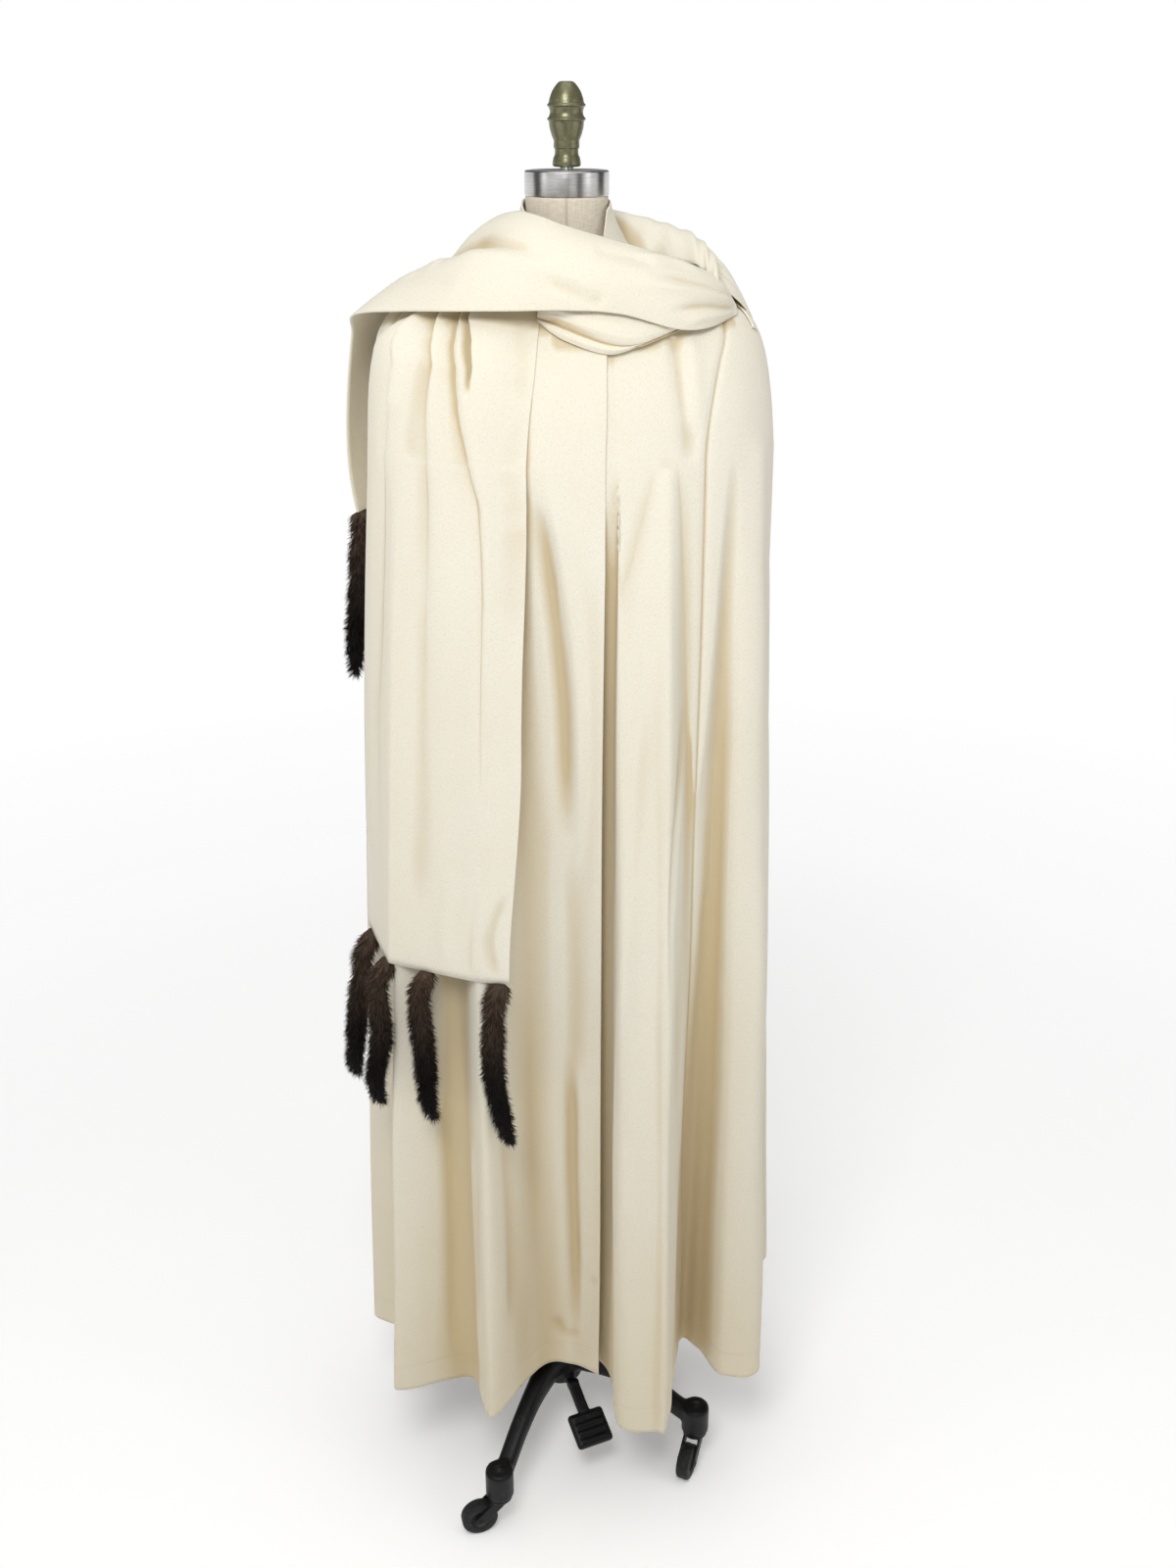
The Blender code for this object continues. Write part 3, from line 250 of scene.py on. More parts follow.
# Sharpness of the wedge's sides, the painted shade in it, and the least width of a pleat as a share
WEDGE_POWER = 0.45
WEDGE_PAINTED_SHADE = 1.2
LEAST_PLEAT = 0.001
# Mesh columns up to the wedge, across it, beside it and in each pleat beyond, then the mesh rows
FALL_COLUMNS = (42, 14, 18, 30, 32, 16)
FALL_ROWS = 170
# Creases of the front fall: places as share and drop, half width inwards, outwards, height
FALL_CREASES = (
    (((0.16, 0.36), (0.10, 0.56), (0.07, 0.80)), 0.012, 0.012, -0.0018),
    (((0.66, 0.60), (0.62, 0.80), (0.60, 1.00)), 0.012, 0.012, -0.0022),
    (((0.70, 0.80), (0.72, 1.02), (0.76, 1.24)), 0.018, 0.014, -0.0030),
    (((0.86, 1.00), (0.88, 1.20), (0.84, 1.40)), 0.014, 0.018, 0.0030),
    (((0.45, 1.10), (0.47, 1.26), (0.50, 1.42)), 0.016, 0.020, -0.0025),
    (((0.04, 1.380), (0.10, 1.430), (0.06, 1.470)), 0.006, 0.008, -0.0030),
    (((0.13, 1.395), (0.18, 1.440), (0.16, 1.470)), 0.006, 0.006, 0.0025),
    (((0.33, 1.36), (0.36, 1.42), (0.34, 1.472)), 0.010, 0.008, 0.0022),
)
# A cloth drawn tight round the folds: points read per fold, degrees between the directions it is
# measured in, and the least cosine between a point's turn and such a direction
WRAP_POINTS = 6
WRAP_STEP = 2
WRAP_FACING = 0.3

# The scarf's outer stretch: from the slot at the left shoulder across the chest, over the right
# shoulder and down the back.
# upper or inner edge x, y, z, lower or outer edge x, y, z, crown, dip beside the neck
OUTER_WRAP = (
    (0.183, -0.0125, 1.6245, 0.184, -0.0435, 1.6157, 0.002, 0.000),
    (0.159, -0.052, 1.656, 0.152, -0.090, 1.6075, 0.010, 0.000),
    (0.098, -0.082, 1.681, 0.1155, -0.116, 1.609, 0.016, 0.000),
    (0.040, -0.094, 1.698, 0.056, -0.132, 1.626, 0.018, 0.000),
    (-0.002, -0.094, 1.710, 0.000, -0.137, 1.630, 0.018, 0.000),
    (-0.030, -0.082, 1.719, -0.060, -0.134, 1.629, 0.018, 0.002),
    (-0.052, -0.056, 1.721, -0.118, -0.117, 1.627, 0.016, 0.010),
    (-0.078, -0.016, 1.712, -0.177, -0.072, 1.622, 0.011, 0.020),
    (-0.096, 0.026, 1.694, -0.235, -0.016, 1.612, 0.006, 0.016),
    (-0.094, 0.078, 1.672, -0.244, 0.022, 1.586, 0.014, 0.008),
    (-0.082, 0.118, 1.620, -0.254, 0.042, 1.535, 0.034, 0.000),
    (-0.070, 0.143, 1.550, -0.261, 0.054, 1.475, 0.042, 0.000),
    (-0.060, 0.160, 1.470, -0.262, 0.060, 1.420, 0.041, 0.000),
    (-0.055, 0.168, 1.372, -0.256, 0.060, 1.372, 0.040, 0.000),
)
# Where across the strip the dip lies, and its half width, as shares
DIP_PLACE = 0.30
DIP_SPREAD = 0.17
# Row at which the band goes over into the fall behind
SHOULDER_ROW = 8
# Mesh steps along and across the band, the fall behind and the neck stretch, and along the scarf's ends
BAND_STEPS = (170, 64)
BACK_FALL_STEPS = (70, 48)
NECK_STEPS = (110, 40)
END_STEPS = 40
# Creases of the band: places as row and share, half width towards lower rows, higher rows, height
BAND_CREASES = (
    (((7.00, 0.26), (6.40, 0.33), (5.88, 0.38), (5.14, 0.40), (4.50, 0.46)), 0.010, 0.010, -0.0040),
    (((6.60, 0.46), (5.90, 0.52), (5.10, 0.54), (4.40, 0.62)), 0.010, 0.012, 0.0025),
    (((4.80, 0.55), (4.30, 0.62), (3.80, 0.71), (3.30, 0.88)), 0.009, 0.009, 0.0030),
    (((4.40, 0.70), (3.80, 0.82), (3.24, 0.92)), 0.008, 0.008, -0.0030),
    (((0.15, 0.58), (0.60, 0.62), (1.10, 0.66), (1.60, 0.72), (2.20, 0.84)), 0.0045, 0.0045, -0.0042),
    (((0.15, 0.74), (0.70, 0.78), (1.30, 0.84), (1.90, 0.94)), 0.005, 0.005, 0.0025),
    (((0.15, 0.42), (0.70, 0.45), (1.40, 0.50), (2.20, 0.56), (3.00, 0.66)), 0.006, 0.006, 0.0030),
    (((0.15, 0.30), (0.80, 0.32), (1.60, 0.36), (2.40, 0.42)), 0.005, 0.005, -0.0032),
    (((2.60, 0.20), (2.20, 0.13), (1.76, 0.08), (1.30, 0.12)), 0.006, 0.006, 0.0030),
    (((3.40, 0.30), (2.80, 0.28), (2.20, 0.24)), 0.009, 0.009, -0.0025),
    (((7.60, 0.62), (6.90, 0.70), (6.10, 0.80)), 0.012, 0.012, -0.0025),
    (((7.80, 0.36), (7.30, 0.48), (6.90, 0.56)), 0.010, 0.012, 0.0025),
)

# The stretch round the back of the neck. upper edge x, y, z, lower edge turn, drop, crown
NECK_WRAP = (
    (-0.058, 0.052, 1.692, 138.0, 0.40, 0.006),
    (-0.040, 0.070, 1.709, 154.0, 0.45, 0.012),
    (0.000, 0.080, 1.715, 180.0, 0.46, 0.012),
    (0.048, 0.068, 1.715, 205.0, 0.46, 0.012),
    (0.088, 0.050, 1.706, 228.0, 0.46, 0.012),
    (0.131, 0.030, 1.690, 246.0, 0.46, 0.010),
    (0.154, 0.004, 1.672, 259.0, 0.46, 0.008),
    (0.163, -0.016, 1.654, 269.0, 0.46, 0.005),
    (0.170, -0.030, 1.640, 273.0, 0.46, 0.003),
)
# Gathers of the neck stretch over the left shoulder: row, half width in rows, height
NECK_GATHERS = (
    (4.05, 0.22, 0.0022),
    (4.50, 0.20, 0.0036),
    (5.00, 0.20, 0.0046),
    (5.50, 0.21, 0.0046),
    (6.02, 0.21, 0.0044),
    (6.55, 0.20, 0.0036),
    (7.10, 0.20, 0.0022),
)
# Share of the way down the stretch where the gathers end
NECK_GATHER_END = 0.7
# The lip that turns from the stretch's upper edge towards the slot: row, offset of its end
NECK_LIP = (
    (0.0, 0.002, -0.002, -0.003),
    (2.0, -0.001, -0.006, -0.012),
    (3.0, -0.005, -0.016, -0.034),
    (4.0, 0.002, -0.044, -0.036),
    (5.0, 0.010, -0.066, -0.027),
    (6.0, 0.005, -0.064, -0.026),
    (7.0, -0.010, -0.042, -0.022),
    (8.0, -0.008, -0.020, -0.014),
)
# Crown of the lip as a share of its reach, its mesh rows, the stretch's gap to the cape
NECK_LIP_CROWN = 0.16
NECK_LIP_ROWS = 16
NECK_CLEAR = 0.0003
# Step in rows over which the run of a strip is measured
STRIP_STEP = 0.05

# The soft folds under the band. turn, drop of their upper edge, drop of the lower edge, share of the
# way down at which the first fold ends over the second, how full they are
UNDER_DRAPE = (
    (8.0, 0.31, 0.39, 0.80, 0.45),
    (3.0, 0.29, 0.48, 0.66, 0.85),
    (-3.0, 0.29, 0.56, 0.70, 1.00),
    (-10.0, 0.30, 0.60, 0.80, 1.00),
    (-18.0, 0.32, 0.56, 0.97, 0.84),
    (-27.0, 0.36, 0.50, 1.00, 0.58),
    (-36.0, 0.39, 0.45, 1.00, 0.40),
)
# Rolls of the first and second fold: share of its own depth, height above the cape where it is full
FIRST_ROLL = (
    (0.00, 0.0140),
    (0.35, 0.0225),
    (0.70, 0.0220),
    (0.90, 0.0185),
    (1.00, 0.0130),
)
SECOND_ROLL = (
    (0.00, 0.0055),
    (0.40, 0.0105),
    (0.75, 0.0105),
    (1.00, 0.0050),
)
# Mesh rows of the two folds, mesh columns, and the farthest down that the two meet
ROLL_ROWS = (36, 22)
ROLL_COLUMNS = 110
LAST_MEET = 0.985

# The strip beside the slot at the left shoulder, from its upper to its lower end.
# turn and drop of its front edge, turn and drop of its back edge
TAB = (
    (274.0, 0.335, 270.3, 0.350),
    (280.5, 0.420, 276.4, 0.437),
    (286.0, 0.500, 281.6, 0.520),
)
# Gap between the tab and the cape, mesh rows and columns
TAB_SEAT = 0.0009
TAB_MESH = (40, 9)

# The collar stand. turn, radius and height of its upper edge, the same of its lower edge
COLLAR = (
    (64.0, 0.0505, 1.718, 44.0, 0.0750, 1.6585),
    (94.0, 0.0488, 1.728, 88.0, 0.0840, 1.6585),
    (130.0, 0.0474, 1.731, 130.0, 0.0765, 1.6585),
    (180.0, 0.0472, 1.731, 180.0, 0.0640, 1.6585),
    (230.0, 0.0472, 1.730, 230.0, 0.0765, 1.6585),
    (272.0, 0.0476, 1.727, 276.0, 0.0840, 1.6585),
    (300.0, 0.0510, 1.721, 336.0, 0.0690, 1.6585),
)
# How late the collar flares out on its way down, mesh rows and columns
COLLAR_FLARE = 1.4
COLLAR_MESH = (24, 110)

# Fur tails. share of the length, radius
TAIL_PROFILE = (
    (0.00, 0.0030),
    (0.03, 0.0085),
    (0.12, 0.0135),
    (0.35, 0.0165),
    (0.62, 0.0165),
    (0.82, 0.0135),
    (0.94, 0.0080),
    (1.00, 0.0020),
)
# Gap between a tail and the cape's folds, and the share of its length over which it comes clear of them
TAIL_CLEAR = 0.0045
TAIL_TURN_OUT = 0.13
# share along the scarf's end, length, sway half way down, sway at the tip, how far the tip stands out
FRONT_TAILS = (
    (0.06, 0.222, -0.001, 0.014, 0.000),
    (0.45, 0.205, 0.008, 0.012, 0.000),
    (0.655, 0.208, 0.019, -0.004, 0.004),
    (0.93, 0.228, 0.026, -0.020, 0.014),
)
BACK_TAILS = (
    (0.05, 0.205, 0.003, -0.004, 0.000),
    (0.35, 0.210, -0.004, 0.005, 0.004),
    (0.65, 0.208, 0.004, -0.004, 0.000),
    (0.95, 0.213, 0.003, -0.004, 0.026),
)
# The fur's outline: share of the length, radius
FUR_PROFILE = (
    (0.00, 0.0075),
    (0.02, 0.0118),
    (0.08, 0.0152),
    (0.30, 0.0182),
    (0.60, 0.0166),
    (0.80, 0.0140),
    (0.93, 0.0095),
    (1.00, 0.0030),
)
# Kinks of a tail: waves along it, reach, share of a wave from tail to tail and from X to Y
FUR_KINKS = (1.4, 0.0012, 0.37, 0.25)
# Bulges of a tail: waves along it, reach as a share of the radius, share of a wave from tail to tail
FUR_BULGES = (4.3, 0.04, 0.61)
# Mesh rings and sides of a tail's skin
TAIL_RINGS = 48
TAIL_SIDES = 24
# Share of a tail's radius that its skin takes at the root and lower down, the rest being hair, and the
# share of the length over which it narrows
SKIN_SHARE = (0.85, 0.54)
SKIN_NARROWS = 0.14
# How far hairs lean out from the tail's run, the shortest and the longest as shares of their length
HAIR_LEAN = 0.50
HAIR_LENGTHS = (0.45, 1.30)
# Blade of one hair: share of its length, share of its width, bend as a share of its length
HAIR_BLADE = ((0.00, 0.9, 0.00), (0.45, 1.0, -0.04), (1.00, 0.0, -0.16))

# Dress form below the shoulders. height, half width, depth in front, depth behind, squareness
TORSO = (
    (1.566, 0.188, 0.112, 0.106, 2.3),
    (1.520, 0.172, 0.118, 0.116, 2.3),
    (1.450, 0.164, 0.126, 0.118, 2.2),
    (1.370, 0.162, 0.132, 0.112, 2.2),
    (1.290, 0.146, 0.112, 0.100, 2.1),
    (1.215, 0.128, 0.096, 0.090, 2.1),
    (1.140, 0.138, 0.098, 0.098, 2.1),
    (1.050, 0.158, 0.104, 0.114, 2.2),
    (0.960, 0.164, 0.104, 0.118, 2.2),
    (0.885, 0.156, 0.098, 0.108, 2.2),
    (0.870, 0.148, 0.092, 0.100, 2.2),
)
# The form's neck. height, half width, depth
NECK = (
    (1.7330, 0.0446, 0.0446),
    (1.7000, 0.0448, 0.0448),
    (1.6820, 0.0480, 0.0470),
    (1.6660, 0.0600, 0.0540),
)
# Drop down to which the form fills the cape, and mesh rows of the neck, of that stretch and of the rest
SEATED_DROP = 0.5
FORM_ROWS = (22, 14, 61)
# Linen cover: radius at which its weave is mapped, half width of its seams in degrees
COVER_RADIUS = 0.09
COVER_SEAM = 1.6
# Neck plate and the stud on it
CAP_RADIUS = 0.0455
CAP_BOTTOM = 1.7333
CAP_HEIGHT = 0.0257
CAP_EDGE = 0.0015
CAP_MIDDLE = 0.0008
STUD_RADIUS = 0.0075
STUD_HEIGHT = 0.0060
# Turned finial. height above its foot, radius
FINIAL = (
    (0.0830, 0.0000),
    (0.0830, 0.0052),
    (0.0822, 0.0078),
    (0.0795, 0.0108),
    (0.0735, 0.0150),
    (0.0665, 0.0178),
    (0.0622, 0.0188),
    (0.0606, 0.0203),
    (0.0592, 0.0203),
    (0.0578, 0.0188),
    (0.0535, 0.0176),
    (0.0490, 0.0186),
    (0.0472, 0.0203),
    (0.0456, 0.0203),
    (0.0442, 0.0188),
    (0.0380, 0.0180),
    (0.0310, 0.0160),
    (0.0262, 0.0140),
    (0.0252, 0.0137),
    (0.0200, 0.0138),
    (0.0182, 0.0136),
    (0.0168, 0.0126),
    (0.0120, 0.0128),
    (0.0096, 0.0134),
    (0.0086, 0.0142),
    (0.0000, 0.0142),
    (0.0000, 0.0000),
)
# How far the finial is screwed down over its stud, radius of its point, mesh rows
FINIAL_SINK = 0.003
FINIAL_POINT = 0.0006
FINIAL_ROWS = 160

# Stage: the floor's radius and mesh sides, brightness of the sky between backdrop and ceiling, the camera's
# sensor in millimetres
FLOOR_RADIUS = 4.0
FLOOR_SIDES = 96
SKY_FILL = 0.14
SENSOR_WIDTH = 36.0
# Lights: setting with the power, name, place, target, width, height
LIGHTS = (
    ("key", "Key", (-0.30, -1.80, 2.95), (0.0, 0.0, 1.40), 0.9, 0.9),
    ("side", "Side", (2.3, -1.3, 2.0), (0.0, 0.0, 1.1), 0.6, 1.8),
    ("strip", "Left strip", (-2.3, -1.2, 2.2), (0.0, 0.0, 1.4), 0.35, 1.6),
)
# Dark cards that only reflections see, round the steel: turn, width
CARDS = (
    (87.0, 0.75),
    (6.0, 0.90),
    (-36.0, 0.45),
    (-108.0, 0.80),
)
CARD_DISTANCE = 1.6
CARD_HEIGHTS = (0.3, 2.4)

# Mesh sides of turned bodies, and passes that soften the castings
SIDES = {"plate": 96, "stud": 40, "finial": 72, "sleeve": 64, "post": 48, "hub": 48, "socket": 40, "nub": 20,
         "knuckle": 24, "crown": 40, "bolt": 24, "wheel": 72}
SOFTENING = {"base": 5, "pedal": 3, "fork": 2}

# Stand: place of its axis, post, sleeve and hub
STAND = (-0.018, -0.008)
POLE_RADIUS = 0.0125
SLEEVE_OUTER = 0.0175
SLEEVE_BORE = 0.0130
SLEEVE_TOP = 0.420
HUB_RADIUS = 0.032
HUB_TOP = 0.165
HUB_BOTTOM = 0.092
HUB_MIDDLE = 0.020
HUB_EDGE = 0.004
FRONT_LEG_TURN = 22.5
LEG_COUNT = 4
# Leg sections from the hub out. radius, height of the middle, width, depth
LEG = (
    (0.012, 0.132, 0.034, 0.050),
    (0.060, 0.134, 0.030, 0.042),
    (0.105, 0.128, 0.026, 0.034),
    (0.150, 0.112, 0.025, 0.030),
    (0.182, 0.094, 0.025, 0.028),
    (0.212, 0.080, 0.025, 0.026),
)
# Power that squares the sections, their mesh points, mesh sections
LEG_POWER = 0.6
LEG_SIDES = 20
LEG_ROWS = 26
# Caster sockets with the nub on top; the edge of a socket is given inwards and down
SOCKET_RADIUS = 0.0195
SOCKET_TOP = 0.104
SOCKET_BOTTOM = 0.059
SOCKET_EDGE = (0.003, 0.002)
NUB_RADIUS = 0.004
NUB_HEIGHT = 0.004
NUB_TAPER = 0.7
# Wheels: sizes, then the side's depth below the rim and share of the radius from the axle out, the angles of
# the rounding, and the groove round the tread as half width at its top, at its bottom and depth
WHEEL_RADIUS = 0.025
WHEEL_WIDTH = 0.018
WHEEL_ROUNDING = 0.004
WHEEL_SIDE = ((0.003, 0.04), (0.003, 0.42), (0.0006, 0.52), (0.0, 0.58))
WHEEL_ANGLES = (15.0, 30.0, 45.0, 60.0, 75.0, 90.0)
WHEEL_GROOVE = (0.0012, 0.0006, 0.0005)
# Forks: crown with its upper and lower edge, cheeks, arc of a cheek's end as first angle, last angle and
# points, and the bolt's head as height and radius
TRAIL = 0.030
CROWN_RADIUS = 0.0175
CROWN_HEIGHT = 0.006
CROWN_TOP_EDGE = (0.001, 0.001)
CROWN_LOW_EDGE = (0.003, 0.002)
FORK_WALL = 0.0032
FORK_PLAY = 0.0006
CHEEK_TOP = 0.0110
CHEEK_RADIUS = 0.0090
CHEEK_ARC = (60.0, -150.0, 20)
BOLT = ((0.0014, 0.003), (0.0004, 0.0042), (-0.001, 0.0042))
# Trailing direction of each caster, degrees from +X towards +Y, in the order of the legs
CASTER_TRAIL = (196.0, 246.0, 70.0, 190.0)
# Pedal: facing, hinge as reach and height, then sizes and roundings of its pad, arm and ribs
PEDAL_TURN = -24.0
PEDAL_PIVOT = (0.047, 0.106)
PEDAL_PLAY = 0.0006
PEDAL_PAD = (0.050, 0.054, 0.012)
PAD_ROUNDING = 0.005
PEDAL_PAD_REACH = 0.108
PEDAL_PAD_Z = 0.078
PEDAL_ARM = (0.016, 0.014)
ARM_SLIMNESS = 0.8
ARM_ROUNDING = 0.002
PEDAL_RIBS = 4
PEDAL_RIB = (0.005, 0.040, 0.004)
PEDAL_RIB_SPAN = 0.34
RIB_ROUNDING = 0.0012


def size_setting(name, description, default):
    """Length that a user can change."""
    return FloatProperty(name=name, description=description, default=default, unit="LENGTH")


def colour_setting(name, description, default):
    """Colour that a user can change."""
    return FloatVectorProperty(name=name, description=description, default=default, subtype="COLOR", size=3)


class ClothSettings(bpy.types.PropertyGroup):
    """Sizes and colours of the cape and its scarf."""
    cape_wall: size_setting("Cape thickness", "Wall of the cape's cloth", 0.0020)
    scarf_wall: size_setting("Scarf thickness", "Wall of the scarf's cloth", 0.0018)
    columns_per_fold: IntProperty(name="Columns a fold", description="Mesh columns in each fold", default=12)
    front_columns: IntProperty(name="Front columns", description="Mesh columns in each fold of the fronts",
                               default=20)
    yoke_rows: IntProperty(name="Yoke rows", description="Mesh rows over the shoulders", default=40)
    fall_rows: IntProperty(name="Fall rows", description="Mesh rows below the break", default=170)
    ivory: colour_setting("Ivory", "Colour of the clean cloth", (0.83, 0.795, 0.695))
    cream: colour_setting("Cream", "Colour of the yellowed cloth", (0.79, 0.735, 0.595))
    # Colour of the painted shade in the folds and where other cloth shelters the cloth
    hollow: colour_setting("Hollows", "Colour deep in the folds", (0.57, 0.45, 0.25))
    unevenness: size_setting("Unevenness", "Height of the slack in the cloth", 0.0014)


class FurSettings(bpy.types.PropertyGroup):
    """Hair of the tails."""
    density: FloatProperty(name="Density", description="Hairs per square metre of skin", default=440000.0)
    length: size_setting("Length", "Length of a hair", 0.025)
    width: size_setting("Width", "Width of a hair", 0.0017)
    spread: FloatProperty(name="Spread", description="How far hairs stray from their lie", default=0.44)
    seed: IntProperty(name="Seed", description="Start of the random draws", default=7)
    root: colour_setting("Underfur", "Colour near the skin", (0.170, 0.112, 0.074))
    tip: colour_setting("Guard hair", "Colour of the tips", (0.0060, 0.0038, 0.0032))


class FormSettings(bpy.types.PropertyGroup):
    """Finishes of the dress form."""
    columns: IntProperty(name="Columns", description="Mesh columns round the form", default=120)
    linen: colour_setting("Linen", "Colour of the cover", (0.72, 0.65, 0.53))
    steel: colour_setting("Steel", "Colour of the brushed metal", (0.72, 0.715, 0.705))
    paint: colour_setting("Paint", "Colour of the finial", (0.158, 0.151, 0.080))


class StandSettings(bpy.types.PropertyGroup):
    """Finishes of the stand."""
    iron: colour_setting("Iron", "Colour of the painted casting", (0.006, 0.006, 0.007))
    rubber: colour_setting("Rubber", "Colour of the wheels", (0.012, 0.012, 0.012))
    grain: size_setting("Casting step", "Mesh step of the casting", 0.0026)


class StageSettings(bpy.types.PropertyGroup):
    """Floor, light and camera."""
    floor: colour_setting("Floor", "Colour of the floor", (0.93, 0.93, 0.925))
    key: FloatProperty(name="Key light", description="Power of the soft light in front", default=34.0)
    side: FloatProperty(name="Side light", description="Power of the light on the viewer's right",
                        default=5.0)
    strip: FloatProperty(name="Strip light", description="Power of the strip on the viewer's left",
                         default=3.0)
    ceiling: FloatProperty(name="Ceiling", description="Brightness overhead", default=1.6)
    backdrop: FloatProperty(name="Backdrop", description="Brightness behind the cape", default=1.0)
    camera: FloatVectorProperty(name="Camera", description="Place of the camera", subtype="TRANSLATION",
                                size=3, default=(0.0228, -1.80, 1.83))
    tilt: FloatProperty(name="Tilt", description="Angle of the view below level", subtype="ANGLE",
                        default=math.radians(23.65))
    lens: FloatProperty(name="Lens", description="Focal length in millimetres", default=36.0)


class CapeStandSettings(bpy.types.PropertyGroup):
    """All that a user would change."""
    cloth: PointerProperty(type=ClothSettings)
    fur: PointerProperty(type=FurSettings)
    form: PointerProperty(type=FormSettings)
    stand: PointerProperty(type=StandSettings)
    stage: PointerProperty(type=StageSettings)


def settings():
    return bpy.context.scene.cape_stand


# Shapes as numbers

def lerp(start, end, share):
    return start + (end - start) * share


def smooth(share):
    share = np.clip(share, 0.0, 1.0)
    return share * share * (3.0 - 2.0 * share)


def ease(value, start, end):
    """Smooth share of the way of a value from a start to an end."""
    return smooth((value - start) / (end - start))


def arch(share):
    """Height over a share: 0 at both ends, 1 half way."""
    return 4.0 * share * (1.0 - share)


def unit(vectors):
    return vectors / np.linalg.norm(vectors, axis=-1, keepdims=True)


def flow(rows, place):
    """Read a table at fractional rows, on a smooth curve through its rows; values come last."""
    rows = np.asarray(rows, dtype=float)
    place = np.asarray(place, dtype=float)
    last = len(rows) - 1
    row = np.clip(np.floor(place).astype(int), 0, last - 1)
    share = (place - row)[..., None]
    a, b, c, d = (rows[np.clip(row + step, 0, last)] for step in (-1, 0, 1, 2))
    bend = (2 * a - 5 * b + 4 * c - d) * share ** 2 + (3 * b - a - 3 * c + d) * share ** 3
    return b + 0.5 * ((c - a) * share + bend)


def read(rows, key):
    """Read a table whose first column rises, at values of that column, easing between its rows."""
    rows = np.asarray(rows, dtype=float)
    key = np.clip(np.asarray(key, dtype=float), rows[0, 0], rows[-1, 0])
    row = np.clip(np.searchsorted(rows[:, 0], key) - 1, 0, len(rows) - 2)
    low, high = rows[row], rows[row + 1]
    share = ease(key, low[..., 0], high[..., 0])[..., None]
    return lerp(low[..., 1:], high[..., 1:], share)


def heading(turn):
    """Unit vectors that turns face."""
    angle = np.radians(turn)
    return np.stack([-np.sin(angle), -np.cos(angle), np.zeros_like(angle)], axis=-1)


def oval(turn, sections):
    """Points of horizontal sections at turns."""
    height, right, left, front, behind, squareness = np.moveaxis(np.asarray(sections, dtype=float), -1, 0)
    angle = np.radians(turn)
    sine, cosine = np.sin(angle), np.cos(angle)
    power = 2.0 / squareness
    half_width = np.where(sine > 0, right, left)
    depth = np.where(cosine > 0, front, behind)
    x = -half_width * np.sign(sine) * np.abs(sine) ** power
    y = -depth * np.sign(cosine) * np.abs(cosine) ** power
    return np.stack(np.broadcast_arrays(x, y, height), axis=-1)


def yoke_point(turn, drop):
    """Points of the cape's outer face over the shoulders; drop runs 0 at the neck to 1 at the break."""
    return oval(turn, flow(YOKE, np.asarray(drop, dtype=float) * (len(YOKE) - 1)))


def outward(surface, across, down):
    """Unit normals of a surface function of two values."""
    step = 0.02
    along = surface(across + step, down) - surface(across - step, down)
    low = surface(across, np.minimum(down + step, 2.0))
    high = surface(across, np.maximum(down - step, 0.0))
    return unit(np.cross(along, low - high))


def on_yoke(turn, drop, lift):
    """Points at a height above the cape's outer face over the shoulders."""
    return yoke_point(turn, drop) + outward(yoke_point, turn, drop) * np.asarray(lift)[..., None]


def fold_growth(fall):
    """How far a fold has opened at a share of the fall from the break to the hem."""
    start = FOLD_LEAD ** FOLD_POWER
    end = (1.0 + FOLD_LEAD) ** FOLD_POWER
    return ((fall + FOLD_LEAD) ** FOLD_POWER - start) / (end - start)


def cape_point(fold, drop):
    """Points of the cape's outer face; drop runs 0 at the neck, 1 at the break, 2 at the hem."""
    fold, drop = np.broadcast_arrays(np.asarray(fold, dtype=float), np.asarray(drop, dtype=float))
    neck_turn, break_turn, hem_x, hem_y, start = np.moveaxis(flow(FOLDS, fold), -1, 0)
    over = yoke_point(lerp(neck_turn, break_turn, smooth(drop)), np.minimum(drop, 1.0))
    top = oval(break_turn, YOKE[-1])
    share = fold_growth(np.maximum(0.0, (drop - 1.0 - start) / (1.0 - start)))
    height = lerp(BREAK_Z, HEM_Z, drop - 1.0)
    below = np.stack([lerp(top[..., 0], hem_x, share), lerp(top[..., 1], hem_y, share), height], axis=-1)
    return np.where((drop <= 1.0)[..., None], over, below)


def lapped_point(fold, drop):
    """Cape points with the right front's edge lifted over the left front."""
    lift = LAP_LIFT * (1.0 - smooth(fold / LAP_FOLDS)) * (1.0 - ease(drop, *LAP_DROPS))
    normals = outward(cape_point, np.maximum(fold, FOLD_MARGIN), drop)
    return cape_point(fold, drop) + normals * lift[..., None]


def on_wrap(turn, drop, lift):
    """Points above a cloth drawn tight round the cape's folds; each row has one drop."""
    last = len(FOLDS) - 1
    folds = np.linspace(0.0, last, last * WRAP_POINTS + 1)
    supports = np.arange(0.0, 360.0, WRAP_STEP)
    facing = heading(supports)
    turn, drop, lift = np.broadcast_arrays(*(np.asarray(v, dtype=float) for v in (turn, drop, lift)))
    points = np.empty(turn.shape + (3,))
    for row in range(len(turn)):
        section = cape_point(folds, drop[row, 0])
        reach = (section @ facing.T).max(axis=0)
        apart = np.cos(np.radians(turn[row][:, None] - supports[None, :]))
        radius = np.where(apart > WRAP_FACING, reach / np.maximum(apart, WRAP_FACING), 1.0).min(axis=1)
        points[row] = heading(turn[row]) * (radius + lift[row])[:, None]
        points[row, :, 2] = section[0, 2]
    return points


def pleat_rows(drop):
    """Columns of the pleats at drops."""
    keys = np.asarray(PLEATS)
    return np.moveaxis(flow(keys[:, 1:], np.interp(drop, keys[:, 0], np.arange(len(keys)))), -1, 0)


def within(share, low, high):
    """Share of the way between a pleat's two sides."""
    return np.clip((share - low) / np.maximum(high - low, LEAST_PLEAT), 0.0, 1.0)


